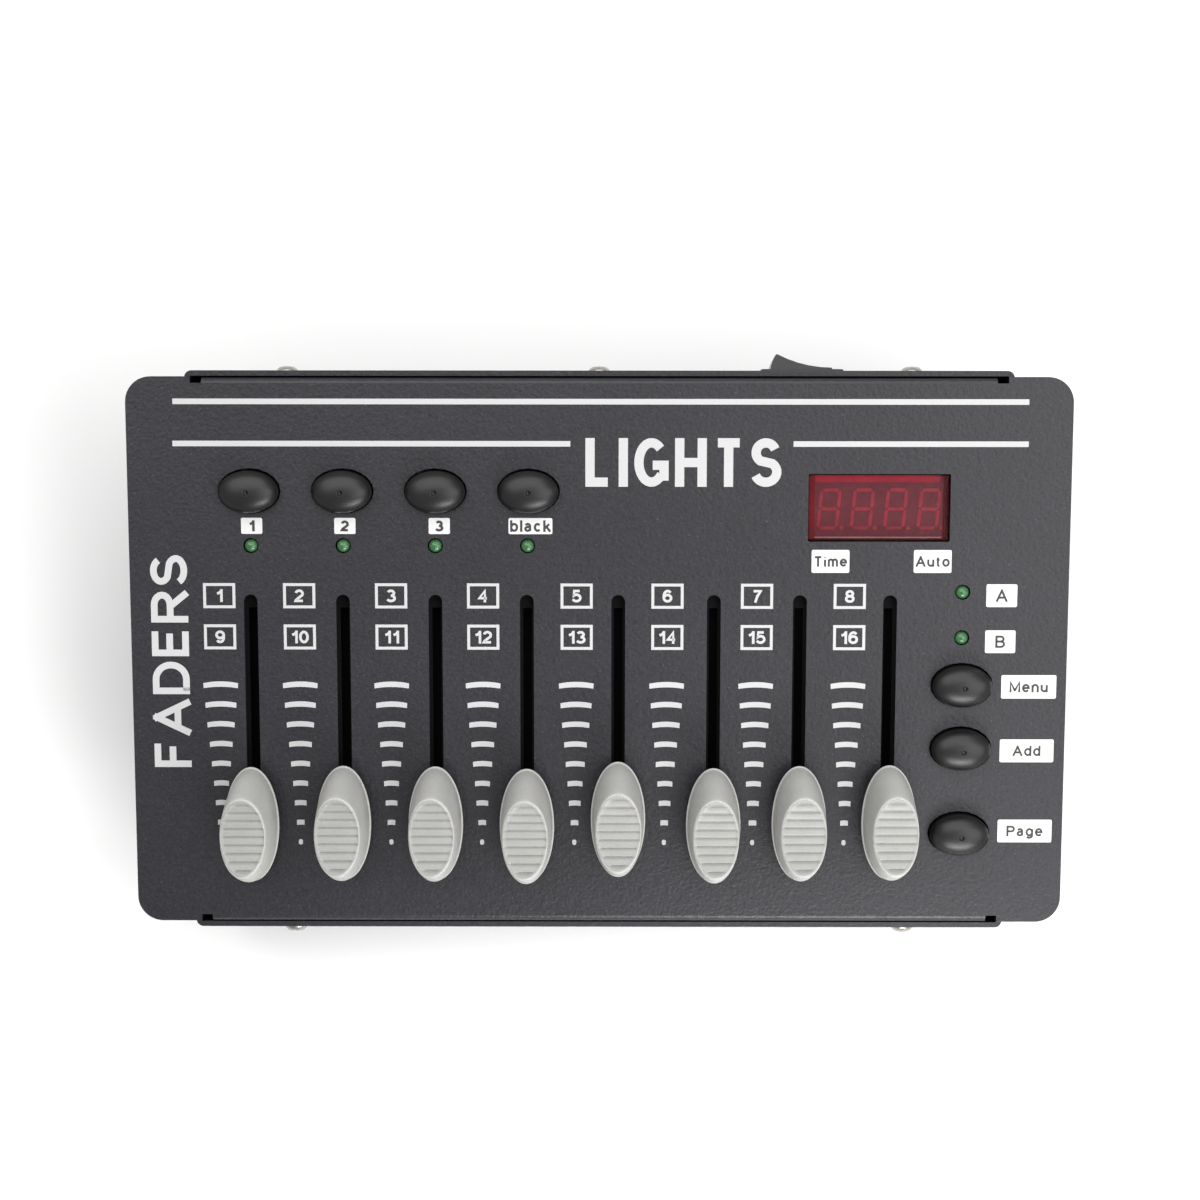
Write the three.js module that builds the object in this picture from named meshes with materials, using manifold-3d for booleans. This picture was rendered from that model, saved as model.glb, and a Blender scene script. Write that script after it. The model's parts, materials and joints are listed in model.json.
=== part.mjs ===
// A small stage lighting control desk: a sloping steel top panel with eight faders, seven oval push
// buttons, six indicator lights and a four-digit display, screwed to a steel base tray that carries
// the power switch, the power jack and the output socket in its rear wall.
//
// Millimetres, +Z up, +X to the operator's right, +Y to the rear. The origin is on the table, under the
// middle of the whole desk. The deck frame is the sloping top panel's own frame: x across, y up the
// slope, z out of the panel, with its origin in the middle of the panel's top surface.

import * as THREE from "three";
import { mergeVertices } from "three/addons/utils/BufferGeometryUtils.js";
import Module from "manifold-3d";

const wasm = await Module();
wasm.setup();

// ---------------------------------------------------------------- driving dimensions

const FIT_GAP = 0.3; // between pieces that nest, or that meet on the sloping deck
const SEAT_GAP = 0.05; // under a screw head, a bezel or a foot that bears on the case
const SHEET = 1.2; // steel sheet of both case halves
const SLOPE = THREE.MathUtils.degToRad(8.5);

// Top panel
const PANEL_WIDTH = 204;
const PANEL_DEPTH = 120; // along the slope
const PANEL_CORNER = 5.5;
const PANEL_MID_HEIGHT = 43; // top surface over the table, in the middle
const WING = 12.5; // how far the panel stands out past the tray on each side
const BEND_RADIUS = 1.6; // outside of the front and rear folds
const FLANGE_DROP = 14;
const RELIEF_WIDTH = 2.4; // notch at each end of a fold
const RELIEF_DEPTH = 1.4;
const RELIEF_INSET = 1.5; // from the tray's outer side to the notch

// Base tray, feet and case screws
const TRAY_CORNER = 1.6;
const FOOT_HEIGHT = 3;
const FOOT_RADIUS = 6;
const FOOT_TAPER = 0.8;
const FOOT_INSET = 12; // foot centre from the tray's outer faces
const SCREW_SPREAD = 68.4; // outer case screws from the middle
const SCREW_DROP = 9.5; // screw axis below the panel's edge
const SCREW_HEAD_RADIUS = 2.5;
const SCREW_HEAD_HEIGHT = 2;
const SCREW_SHANK_RADIUS = 1.45;
const SCREW_SHANK_LENGTH = 5;
const SCREW_RECESS = 1;

// Faders
const FADER_PITCH = 20;
const FADER_FIRST_X = -75.8;
const FADER_OFF_PITCH = [0, 0.1, 0.2, 0.1, 0, 0.8, -0.5, -0.9]; // each slot off the even pitch
const FADER_REST = [0.4, 0.7, 0.6, 0.1, 1.7, 0.3, 0.8, 1.0]; // each lever above its lower stop
const FADER_MID_Y = -15.7; // middle of the travel, deck frame
const FADER_TRAVEL = 45;
const FADER_BODY_WIDTH = 9;
const FADER_BODY_LENGTH = 60;
const FADER_BODY_DEPTH = 7;
const FADER_BODY_WALL = 0.8;
const FADER_STANDOFF = 1.6; // from the panel's underside to the fader body
const LEVER_WIDTH = 1.2;
const LEVER_LENGTH = 5;
const LEVER_TOP = 12; // above the panel's top surface
const CARRIAGE_LENGTH = 7;
const SLOT_WIDTH = 3;
const SLOT_END_ROOM = 3.5; // from the lever's end to the slot's end at full travel
const KNOB_WIDTH = 11.9;
const KNOB_LENGTH = 25.4;
const KNOB_TOP_WIDTH = 9.4;
const KNOB_TOP_LENGTH = 16.9;
const KNOB_HEIGHT = 14.5;
const KNOB_LIFT = 3.5; // knob's rim above the panel
const KNOB_DISH_RADIUS = 23;
const KNOB_DISH_DEPTH = 1.7;
const KNOB_RECESS = 1.5; // hollow under the rim
const KNOB_RIM = 1.3; // wall round that hollow

// Push buttons: three scenes and a blackout in a row, then menu, add and page in a column
const BUTTON_WIDTH = 12.9;
const BUTTON_DEPTH = 9.1;
const BUTTON_GAP = 0.4; // between a cap and its hole in the panel
const BUTTON_RISE = 4.8; // top of the dome above the panel
const BUTTON_DOME = 3.1; // height of the domed part
const BUTTON_SKIRT = 2; // below the panel's top surface
const BUTTON_WALL = 1.1;
const BUTTON_TRAVEL = 0.8;
const BUTTON_POST = 3.4;
const BUTTON_POST_DROP = 6.4; // foot of the post below the panel's top surface
const BUTTON_ROW = { firstX: -75.7, pitch: 20.15, y: 35.35 };
const BUTTON_COLUMN_X = 79.2;
const BUTTON_COLUMN = { menu_button: -6.95, add_button: -21, page_button: -39.95 };
const SWITCH_SIDE = 6; // push switch on the board, with a well for the button's post
const SWITCH_TOP = -5.6; // deck frame

// Indicator lights and the display
const LED_RADIUS = 1.5;
const LED_HOLE_GAP = 0.2;
const LED_FLANGE_RADIUS = 1.95;
const LED_FLANGE_HEIGHT = 1;
const LED_RISE = 0.5; // dome above the panel
const LED_LENGTH = 5.2;
const LED_LEG = 0.5;
const LED_LEG_PITCH = 2.54;
const LED_ROW = { firstX: -75.5, pitch: 20, y: 23.5 };
const LED_COLUMN = { x: 79, y: [13.5, 3.5] };
const WINDOW_WIDTH = 30.1;
const WINDOW_DEPTH = 14.1;
const WINDOW_THICK = 2;
const WINDOW_SINK = 0.4; // below the panel's top surface
const DISPLAY_X = 60.6;
const DISPLAY_Y = 31.8;
const DISPLAY_HEIGHT = 7.1;

// Control board, on four standoffs
const BOARD_THICK = 1.6;
const BOARD_WIDTH = 168;
const BOARD_FRONT_Y = -53;
const BOARD_REAR_Y = 46;
const STANDOFF_RADIUS = 2.6;
const STANDOFF_BORE = 1.25;
const STANDOFF_INSET = 2.9; // from the board's edges

// Power switch in the rear wall
const ROCKER_X = 45;
const ROCKER_Z = 31;
const ROCKER_TILT = THREE.MathUtils.degToRad(14); // each way from level
const ROCKER_HALF_LENGTH = 6.4;
const ROCKER_END_RISE = 2.6; // rocker's ends over the pivot
const ROCKER_KEEL = 3.2; // rocker below the pivot
const ROCKER_WIDTH = 8;
const BEZEL_LENGTH = 18.4;
const BEZEL_WIDTH = 12.6;
const BEZEL_THICK = 2.1;
const BEZEL_CORNER = 1.2;
const PIVOT_OUT = 1.85; // pivot axis outside the wall's outer face
const SWITCH_BODY_LENGTH = 16.4;
const SWITCH_BODY_WIDTH = 10.6;
const SWITCH_BODY_REACH = 12; // into the case
const SWITCH_WELL = 5.5; // depth of the rocker's well from the bezel's face
const TERMINAL = [0.8, 7, 4.8]; // blade, along x, y and z
const TERMINAL_SPREAD = 5;

// Power jack and its nut
const JACK_X = 16;
const JACK_Z = 22;
const JACK_FACE_RADIUS = 5.2;
const JACK_FACE_THICK = 1.6;
const JACK_BARREL_RADIUS = 3.9;
const JACK_BORE_RADIUS = 3.05;
const JACK_BORE_DEPTH = 9.5;
const JACK_REACH = 14;
const JACK_PIN_RADIUS = 1;
const NUT_RADIUS = 6;
const NUT_THICK = 2.2;

// Three-pin output socket, mounted from inside
const SOCKET_X = -42;
const SOCKET_Z = 22;
const SOCKET_FLANGE_WIDTH = 26;
const SOCKET_FLANGE_HEIGHT = 31;
const SOCKET_FLANGE_THICK = 2;
const SOCKET_BARREL_RADIUS = 11.7;
const SOCKET_RING_BORE = 9.7;
const SOCKET_CORE_RADIUS = 7.8;
const SOCKET_DEPTH = 13;
const SOCKET_REACH = 22;
const SOCKET_PIN_CIRCLE = 4.6;
const SOCKET_PIN_RADIUS = 1.3;
const SOCKET_PIN_ANGLES = [200, 340, 90]; // degrees round the core
const PEG_X = 9.5; // moulded pegs that hold the flange, from the socket's middle
const PEG_Z = 12;
const PEG_RADIUS = 1.4;
const PEG_HEAD_RADIUS = 2.6;
const PEG_HEAD_RISE = 1.1;

// ---------------------------------------------------------------- derived places

const FLANGE_Y = (PANEL_DEPTH / 2) * Math.cos(SLOPE); // outer face of each folded flange
const EDGE_RISE = FLANGE_Y * Math.tan(SLOPE); // panel's rear edge over its middle
const REAR_EDGE_Z = PANEL_MID_HEIGHT + EDGE_RISE;
const FRONT_EDGE_Z = PANEL_MID_HEIGHT - EDGE_RISE;
const TRAY_WIDTH = PANEL_WIDTH - 2 * WING;
const WALL_IN_Y = FLANGE_Y + FIT_GAP;
const WALL_OUT_Y = WALL_IN_Y + SHEET;
const FOLD_HALF = TRAY_WIDTH / 2 - RELIEF_INSET - RELIEF_WIDTH;
const SLOT_LENGTH = FADER_TRAVEL + LEVER_LENGTH + 2 * SLOT_END_ROOM;
const FADER_TOP = -(SHEET + FADER_STANDOFF);
const BOARD_TOP = FADER_TOP - FADER_BODY_DEPTH - FIT_GAP;
const ROCKER_REACH =
  PIVOT_OUT + ROCKER_HALF_LENGTH * Math.sin(ROCKER_TILT) + ROCKER_END_RISE * Math.cos(ROCKER_TILT);
const FRONT_REACH = SEAT_GAP + SCREW_HEAD_HEIGHT;
const CENTRE_SHIFT = (FRONT_REACH - ROCKER_REACH) / 2; // puts the origin under the middle
const DECK = new THREE.Matrix4().makeRotationX(SLOPE).setPosition(0, 0, PANEL_MID_HEIGHT);

const faders = FADER_OFF_PITCH.map((off, i) => ({
  number: i + 1,
  x: FADER_FIRST_X + i * FADER_PITCH + off,
  y: FADER_MID_Y - FADER_TRAVEL / 2 + FADER_REST[i],
}));

const row = (set, names) => names.map((name, i) => ({ name, x: set.firstX + i * set.pitch, y: set.y }));

const buttons = [
  ...row(BUTTON_ROW, ["scene_button_1", "scene_button_2", "scene_button_3", "black_button"]),
  ...Object.entries(BUTTON_COLUMN).map(([name, y]) => ({ name, x: BUTTON_COLUMN_X, y })),
];

const leds = [
  ...row(LED_ROW, ["scene_led_1", "scene_led_2", "scene_led_3", "black_led"]),
  ...["bank_led_a", "bank_led_b"].map((name, i) => ({ name, x: LED_COLUMN.x, y: LED_COLUMN.y[i] })),
];

const pegPlaces = [-1, 1].map((side) => [side * PEG_X, -side * PEG_Z]);

const standoffs = [-1, 1].flatMap((side) =>
  [BOARD_FRONT_Y + STANDOFF_INSET, BOARD_REAR_Y - STANDOFF_INSET].map((y) => ({
    name: `board_standoff_${side < 0 ? "left" : "right"}_${y < 0 ? "front" : "rear"}`,
    x: side * (BOARD_WIDTH / 2 - STANDOFF_INSET),
    y,
  })),
);

// ---------------------------------------------------------------- solids

// A closed geometry as a manifold-3d solid.
function solidOf(geometry) {
  const bare = new THREE.BufferGeometry();
  bare.setAttribute("position", geometry.getAttribute("position").clone());
  if (geometry.index) bare.setIndex(geometry.index);
  const merged = mergeVertices(bare, 1e-4);
  return new wasm.Manifold(
    new wasm.Mesh({
      numProp: 3,
      vertProperties: merged.attributes.position.array,
      triVerts: new Uint32Array(merged.index.array),
    }),
  );
}

// A manifold-3d solid as a geometry.
function geometryOf(solid) {
  const mesh = solid.getMesh();
  const geometry = new THREE.BufferGeometry();
  geometry.setAttribute("position", new THREE.BufferAttribute(mesh.vertProperties, 3));
  geometry.setIndex(new THREE.BufferAttribute(mesh.triVerts, 1));
  geometry.computeVertexNormals();
  return geometry;
}

const join = (...parts) => geometryOf(parts.map(solidOf).reduce((all, part) => all.add(part)));

const cut = (base, ...tools) =>
  geometryOf(tools.map(solidOf).reduce((left, tool) => left.subtract(tool), solidOf(base)));

function box(width, depth, height, x = 0, y = 0, z = 0) {
  return new THREE.BoxGeometry(width, depth, height).translate(x, y, z);
}

// A shape in the XY plane, raised from one height to another.
function prism(shape, bottom, top, curveSegments = 8) {
  const options = { depth: top - bottom, bevelEnabled: false, curveSegments };
  return new THREE.ExtrudeGeometry(shape, options).translate(0, 0, bottom);
}

function roundedRect(width, depth, radius, x = 0, y = 0) {
  const [w, d] = [width / 2 - radius, depth / 2 - radius];
  const shape = new THREE.Shape();
  shape.absarc(x + w, y + d, radius, 0, Math.PI / 2);
  shape.absarc(x - w, y + d, radius, Math.PI / 2, Math.PI);
  shape.absarc(x - w, y - d, radius, Math.PI, 1.5 * Math.PI);
  shape.absarc(x + w, y - d, radius, 1.5 * Math.PI, 2 * Math.PI);
  return shape;
}

function oval(width, depth, x = 0, y = 0) {
  return new THREE.Shape().absellipse(x, y, width / 2, depth / 2, 0, 2 * Math.PI);
}

const disc = (radius, x = 0, y = 0) => oval(2 * radius, 2 * radius, x, y);

// A slot that runs along Y with round ends.
function longSlot(width, length, x, y) {
  const [r, straight] = [width / 2, length / 2 - width / 2];
  const shape = new THREE.Shape();
  shape.absarc(x, y + straight, r, 0, Math.PI);
  shape.absarc(x, y - straight, r, Math.PI, 2 * Math.PI);
  return shape;
}

// A closed outline from corners [x, y, radius], going anticlockwise, with each corner rounded.
function filleted(corners) {
  const shape = new THREE.Shape();
  const points = corners.map(([x, y]) => new THREE.Vector2(x, y));
  points.forEach((corner, i) => {
    const radius = corners[i][2] || 0;
    const back = points.at(i - 1).clone().sub(corner).normalize();
    const ahead = points[(i + 1) % points.length].clone().sub(corner).normalize();
    const start = shape.curves.length || i ? "lineTo" : "moveTo";
    if (!radius) {
      shape[start](corner.x, corner.y);
      return;
    }
    const half = Math.acos(THREE.MathUtils.clamp(back.dot(ahead), -1, 1)) / 2;
    const reach = radius / Math.tan(half);
    const centre = back.clone().add(ahead).normalize().multiplyScalar(radius / Math.sin(half)).add(corner);
    const from = back.clone().multiplyScalar(reach).add(corner).sub(centre);
    const to = ahead.clone().multiplyScalar(reach).add(corner).sub(centre);
    shape.absarc(centre.x, centre.y, radius, from.angle(), to.angle(), from.cross(to) < 0);
  });
  return shape;
}

// A YZ section, given as a shape, swept along X between two places.
function sweptAlongX(section, from, to, curveSegments = 8) {
  const axes = new THREE.Matrix4().makeBasis(
    new THREE.Vector3(0, 1, 0),
    new THREE.Vector3(0, 0, 1),
    new THREE.Vector3(1, 0, 0),
  );
  return prism(section, from, to, curveSegments).applyMatrix4(axes);
}

// An XZ shape raised along Y, for what goes through the front and rear walls.
function throughWall(shape, fromY, toY, curveSegments = 8) {
  return prism(shape, -toY, -fromY, curveSegments).rotateX(Math.PI / 2);
}

// A profile of [radius, height] points turned about Z.
function turned(profile, segments) {
  const points = profile.map(([radius, height]) => new THREE.Vector2(radius, height));
  return new THREE.LatheGeometry(points, segments).rotateX(Math.PI / 2);
}

// Puts each vertex of a geometry where the rule says.
function reshape(geometry, rule) {
  const positions = geometry.getAttribute("position");
  for (let i = 0; i < positions.count; i += 1) {
    const [x, y, z] = rule(positions.getX(i), positions.getY(i), positions.getZ(i));
    positions.setXYZ(i, x, y, z);
  }
  return geometry;
}

const onDeck = (geometry) => geometry.applyMatrix4(DECK);

const desk = new THREE.Group();
desk.position.y = CENTRE_SHIFT;
const deck = new THREE.Group();
deck.rotation.x = SLOPE;
deck.position.z = PANEL_MID_HEIGHT;
desk.add(deck);

function place(parent, name, geometry, material, x = 0, y = 0, z = 0) {
  const mesh = new THREE.Mesh(geometry, material);
  mesh.name = name;
  mesh.position.set(x, y, z);
  parent.add(mesh);
}

// ---------------------------------------------------------------- materials

const material = (color, roughness, metalness = 0) =>
  new THREE.MeshStandardMaterial({ color, roughness, metalness });

const PAINT = material(0x3c3b40, 0.55, 0.2);
const KNOB_PLASTIC = material(0xc9c8c2, 0.5);
const BUTTON_PLASTIC = material(0x2a2a2d, 0.4);
const BLACK_PLASTIC = material(0x1b1b1d, 0.45);
const RUBBER = material(0x151515, 0.9);
const STEEL = material(0xb9b6ae, 0.3, 1);
const TIN = material(0x9a9b9c, 0.4, 1);
const GREEN_LENS = material(0x2f8f4a, 0.25);
const RED_ACRYLIC = material(0x8c1024, 0.1);
const BOARD_GREEN = material(0x1f5a35, 0.6);

// ---------------------------------------------------------------- case

const screwZ = (rear) => (rear ? REAR_EDGE_Z : FRONT_EDGE_Z) - SCREW_DROP;

const caseScrews = [
  { name: "case_screw_rear_left", x: -SCREW_SPREAD, rear: true },
  { name: "case_screw_rear_middle", x: 0, rear: true },
  { name: "case_screw_rear_right", x: SCREW_SPREAD, rear: true },
  { name: "case_screw_front_left", x: -SCREW_SPREAD, rear: false },
  { name: "case_screw_front_right", x: SCREW_SPREAD, rear: false },
];

// Holes for the case screws, long enough to go through a wall and the flange behind it.
function caseScrewHoles() {
  const reach = 4 * SHEET;
  return caseScrews.map(({ x, rear }) => {
    const hole = disc(SCREW_SHANK_RADIUS + FIT_GAP, x, screwZ(rear));
    const y = rear ? FLANGE_Y : -FLANGE_Y;
    return throughWall(hole, y - reach, y + reach, 3);
  });
}

// The folded strip between the reliefs: the deck, both bends and both upright flanges, as one section
// in the deck's own frame.
function foldedStrip() {
  const [sin, cos] = [Math.sin(SLOPE), Math.cos(SLOPE)];
  const inner = BEND_RADIUS - SHEET;
  const outside = (end) => (end * FLANGE_Y) / cos;
  const inside = (end) => (end * (FLANGE_Y - SHEET) - SHEET * sin) / cos;
  const dropped = (y, drop) => [y - drop * sin, -drop * cos];
  const section = filleted([
    dropped(outside(1), FLANGE_DROP),
    [outside(1), 0, BEND_RADIUS],
    [outside(-1), 0, BEND_RADIUS],
    dropped(outside(-1), FLANGE_DROP),
    dropped(outside(-1) + SHEET / cos, FLANGE_DROP),
    [inside(-1), -SHEET, inner],
    [inside(1), -SHEET, inner],
    dropped(outside(1) - SHEET / cos, FLANGE_DROP),
  ]);
  return sweptAlongX(section, -FOLD_HALF, FOLD_HALF, 4);
}

function panelHoles() {
  const hole = (shape, segments) => prism(shape, -3 * SHEET, SHEET, segments);
  const windowRoom = [WINDOW_WIDTH + 2 * FIT_GAP, WINDOW_DEPTH + 2 * FIT_GAP];
  const buttonRoom = [BUTTON_WIDTH + 2 * BUTTON_GAP, BUTTON_DEPTH + 2 * BUTTON_GAP];
  return [
    ...faders.map(({ x }) => hole(longSlot(SLOT_WIDTH, SLOT_LENGTH, x, FADER_MID_Y), 5)),
    ...buttons.map(({ x, y }) => hole(oval(...buttonRoom, x, y), 10)),
    ...leds.map(({ x, y }) => hole(disc(LED_RADIUS + LED_HOLE_GAP, x, y), 6)),
    hole(roundedRect(...windowRoom, FIT_GAP, DISPLAY_X, DISPLAY_Y), 1),
  ];
}

function topPanel() {
  const plate = prism(roundedRect(PANEL_WIDTH, PANEL_DEPTH, PANEL_CORNER), -SHEET, 0, 6);
  const reliefSpan = 2 * (FOLD_HALF + RELIEF_WIDTH);
  const edge = (end) => box(reliefSpan, 2 * RELIEF_DEPTH, 4 * SHEET, 0, (end * PANEL_DEPTH) / 2, 0);
  const folded = join(cut(plate, edge(-1), edge(1)), foldedStrip());
  return cut(onDeck(cut(folded, ...panelHoles())), ...caseScrewHoles());
}

function rearCutouts() {
  const span = [WALL_IN_Y - SHEET, WALL_OUT_Y + SHEET];
  const switchHole = roundedRect(
    SWITCH_BODY_LENGTH + 2 * FIT_GAP,
    SWITCH_BODY_WIDTH + 2 * FIT_GAP,
    FIT_GAP,
    ROCKER_X,
    ROCKER_Z,
  );
  return [
    throughWall(switchHole, ...span, 1),
    throughWall(disc(JACK_BARREL_RADIUS + FIT_GAP, JACK_X, JACK_Z), ...span, 8),
    throughWall(disc(SOCKET_BARREL_RADIUS + FIT_GAP, SOCKET_X, SOCKET_Z), ...span, 14),
    ...pegPlaces.map(([x, z]) =>
      throughWall(disc(PEG_RADIUS + FIT_GAP, SOCKET_X + x, SOCKET_Z + z), ...span, 4),
    ),
  ];
}

function baseTray() {
  const depth = 2 * WALL_OUT_Y;
  const tall = REAR_EDGE_Z + SHEET;
  const outer = prism(roundedRect(TRAY_WIDTH, depth, TRAY_CORNER), FOOT_HEIGHT, tall, 4);
  const inner = prism(
    roundedRect(TRAY_WIDTH - 2 * SHEET, depth - 2 * SHEET, TRAY_CORNER - SHEET),
    FOOT_HEIGHT + SHEET,
    tall + SHEET,
    2,
  );
  const aboveWalls = onDeck(
    box(PANEL_WIDTH, 2 * PANEL_DEPTH, PANEL_MID_HEIGHT, 0, 0, PANEL_MID_HEIGHT / 2 - SHEET - FIT_GAP),
  );
  return cut(outer, inner, aboveWalls, ...rearCutouts(), ...caseScrewHoles());
}

// A pan-head screw with its axis on Z, its head upwards and the head's underside at 0.
function panScrew() {
  const [head, high] = [SCREW_HEAD_RADIUS, SCREW_HEAD_HEIGHT];
  const body = turned(
    [
      [0, -SCREW_SHANK_LENGTH],
      [SCREW_SHANK_RADIUS, -SCREW_SHANK_LENGTH],
      [SCREW_SHANK_RADIUS, 0],
      [head, 0],
      [head * 0.95, high * 0.5],
      [head * 0.65, high * 0.9],
      [0, high],
    ],
    10,
  );
  const arm = [SCREW_HEAD_RADIUS * 1.1, SCREW_HEAD_RADIUS * 0.25];
  const z = high - SCREW_RECESS / 2 + FIT_GAP / 2;
  const deep = SCREW_RECESS + FIT_GAP;
  return cut(body, box(arm[0], arm[1], deep, 0, 0, z), box(arm[1], arm[0], deep, 0, 0, z));
}

place(desk, "top_panel", topPanel(), PAINT);
place(desk, "base_tray", baseTray(), PAINT);

caseScrews.forEach(({ name, x, rear }) => {
  const screw = panScrew().rotateX(rear ? -Math.PI / 2 : Math.PI / 2);
  const y = (rear ? 1 : -1) * (WALL_OUT_Y + SEAT_GAP);
  place(desk, name, screw, STEEL, x, y, screwZ(rear));
});

for (const [sideName, side] of [["left", -1], ["right", 1]])
  for (const [endName, end] of [["front", -1], ["rear", 1]]) {
    const tall = FOOT_HEIGHT - SEAT_GAP;
    const foot = new THREE.CylinderGeometry(FOOT_RADIUS, FOOT_RADIUS - FOOT_TAPER, tall, 16);
    const x = side * (TRAY_WIDTH / 2 - FOOT_INSET);
    const y = end * (WALL_OUT_Y - FOOT_INSET);
    place(desk, `foot_${sideName}_${endName}`, foot.rotateX(Math.PI / 2), RUBBER, x, y, tall / 2);
  }

// ---------------------------------------------------------------- faders

// The slide potentiometer's housing: a closed box with the lever's slot in its top.
function faderBody() {
  const [w, l, d, wall] = [FADER_BODY_WIDTH, FADER_BODY_LENGTH, FADER_BODY_DEPTH, FADER_BODY_WALL];
  const slotWidth = LEVER_WIDTH + 2 * FIT_GAP;
  const slotLength = FADER_TRAVEL + LEVER_LENGTH + 2 * FIT_GAP;
  return cut(
    box(w, l, d, 0, 0, -d / 2),
    box(w - 2 * wall, l - 2 * wall, d - 2 * wall, 0, 0, -d / 2),
    box(slotWidth, slotLength, 2 * wall, 0, 0, -wall / 2),
  );
}

// The sliding carriage and its upright tang, from the deck's surface.
function faderLever() {
  const room = FADER_BODY_WALL + FIT_GAP;
  const [top, bottom] = [FADER_TOP - room, FADER_TOP - FADER_BODY_DEPTH + room];
  const width = FADER_BODY_WIDTH - 2 * room;
  const middle = (top + bottom) / 2;
  return join(
    box(width, CARRIAGE_LENGTH, top - bottom, 0, 0, middle),
    box(LEVER_WIDTH, LEVER_LENGTH, LEVER_TOP - middle, 0, 0, (LEVER_TOP + middle) / 2),
  );
}

// The pull-off knob: an oval block that narrows upwards, with a finger dish across its top.
function faderKnob() {
  const halfWidth = (t) => THREE.MathUtils.lerp(KNOB_WIDTH, KNOB_TOP_WIDTH, t ** 1.4) / 2;
  const halfLength = (t) => THREE.MathUtils.lerp(KNOB_LENGTH, KNOB_TOP_LENGTH, t ** 1.2) / 2;
  const blank = new THREE.CylinderGeometry(1, 1, KNOB_HEIGHT, 20, 3).rotateX(Math.PI / 2);
  const block = reshape(blank, (x, y, z) => {
    const t = z / KNOB_HEIGHT + 0.5;
    return [x * halfWidth(t), y * halfLength(t), z + KNOB_HEIGHT / 2];
  });
  const dish = new THREE.CylinderGeometry(KNOB_DISH_RADIUS, KNOB_DISH_RADIUS, 2 * KNOB_WIDTH, 56);
  dish.rotateZ(Math.PI / 2).translate(0, 0, KNOB_HEIGHT - KNOB_DISH_DEPTH + KNOB_DISH_RADIUS);
  const hollow = oval(KNOB_WIDTH - 2 * KNOB_RIM, KNOB_LENGTH - 2 * KNOB_RIM);
  const socketDepth = LEVER_TOP - KNOB_LIFT + FIT_GAP;
  const socket = box(LEVER_WIDTH + 2 * FIT_GAP, LEVER_LENGTH + 2 * FIT_GAP, 2 * socketDepth);
  return cut(block, dish, prism(hollow, -1, KNOB_RECESS, 7), socket);
}

faders.forEach(({ number, x, y }) => {
  place(deck, `fader_body_${number}`, faderBody(), TIN, x, FADER_MID_Y, FADER_TOP);
  place(deck, `fader_lever_${number}`, faderLever(), BLACK_PLASTIC, x, y, 0);
  place(deck, `fader_knob_${number}`, faderKnob(), KNOB_PLASTIC, x, y, KNOB_LIFT);
});

// ---------------------------------------------------------------- push buttons

// An oval domed cap, hollow underneath, with the post that presses its switch.
function buttonCap() {
  const shoulder = BUTTON_RISE - BUTTON_DOME;
  const inside = 1 - (2 * BUTTON_WALL) / BUTTON_DEPTH; // of the outer radius
  const domed = (t) => [Math.cos(t), shoulder + BUTTON_DOME * Math.sin(t)];
  const shell = turned(
    [
      [0, shoulder],
      [inside, shoulder],
      [inside, -BUTTON_SKIRT],
      [1, -BUTTON_SKIRT],
      ...[0, 0.22, 0.46, 0.74].map((share) => domed((share * Math.PI) / 2)),
      [0, BUTTON_RISE],
    ],
    18,
  );
  const cap = reshape(shell, (x, y, z) => [(x * BUTTON_WIDTH) / 2, (y * BUTTON_DEPTH) / 2, z]);
  const postTop = shoulder + BUTTON_DOME / 4;
  const postMiddle = (postTop - BUTTON_POST_DROP) / 2;
  const post = box(BUTTON_POST, BUTTON_POST, postTop + BUTTON_POST_DROP, 0, 0, postMiddle);
  return join(cap, post);
}

buttons.forEach(({ name, x, y }) => place(deck, name, buttonCap(), BUTTON_PLASTIC, x, y, 0));

// ---------------------------------------------------------------- lights and display

// A domed body with a flange that stays below the panel, on two legs that reach the board.
function led() {
  const foot = LED_RISE - LED_LENGTH;
  const shoulder = LED_RISE - LED_RADIUS;
  const domed = (angle) => [LED_RADIUS * Math.cos(angle), shoulder + LED_RADIUS * Math.sin(angle)];
  const lens = turned(
    [
      [0, foot],
      [LED_FLANGE_RADIUS, foot],
      [LED_FLANGE_RADIUS, foot + LED_FLANGE_HEIGHT],
      [LED_RADIUS, foot + LED_FLANGE_HEIGHT],
      ...[0, 0.5, 1].map(domed),
      [0, LED_RISE],
    ],
    10,
  );
  const [top, bottom] = [foot + LED_LEG, BOARD_TOP + FIT_GAP];
  const legs = [-0.5, 0.5].map((side) =>
    box(LED_LEG, LED_LEG, top - bottom, side * LED_LEG_PITCH, 0, (top + bottom) / 2),
  );
  return join(lens, ...legs);
}

leds.forEach(({ name, x, y }) => place(deck, name, led(), GREEN_LENS, x, y, 0));

const windowFoot = -WINDOW_SINK - WINDOW_THICK;
const windowGeometry = box(WINDOW_WIDTH, WINDOW_DEPTH, WINDOW_THICK, 0, 0, WINDOW_THICK / 2);
place(deck, "display_window", windowGeometry, RED_ACRYLIC, DISPLAY_X, DISPLAY_Y, windowFoot);

const displayTop = windowFoot - FIT_GAP;
const displayGeometry = box(WINDOW_WIDTH, WINDOW_DEPTH, DISPLAY_HEIGHT, 0, 0, -DISPLAY_HEIGHT / 2);
place(deck, "digit_display", displayGeometry, BLACK_PLASTIC, DISPLAY_X, DISPLAY_Y, displayTop);

// ---------------------------------------------------------------- control board

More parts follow.
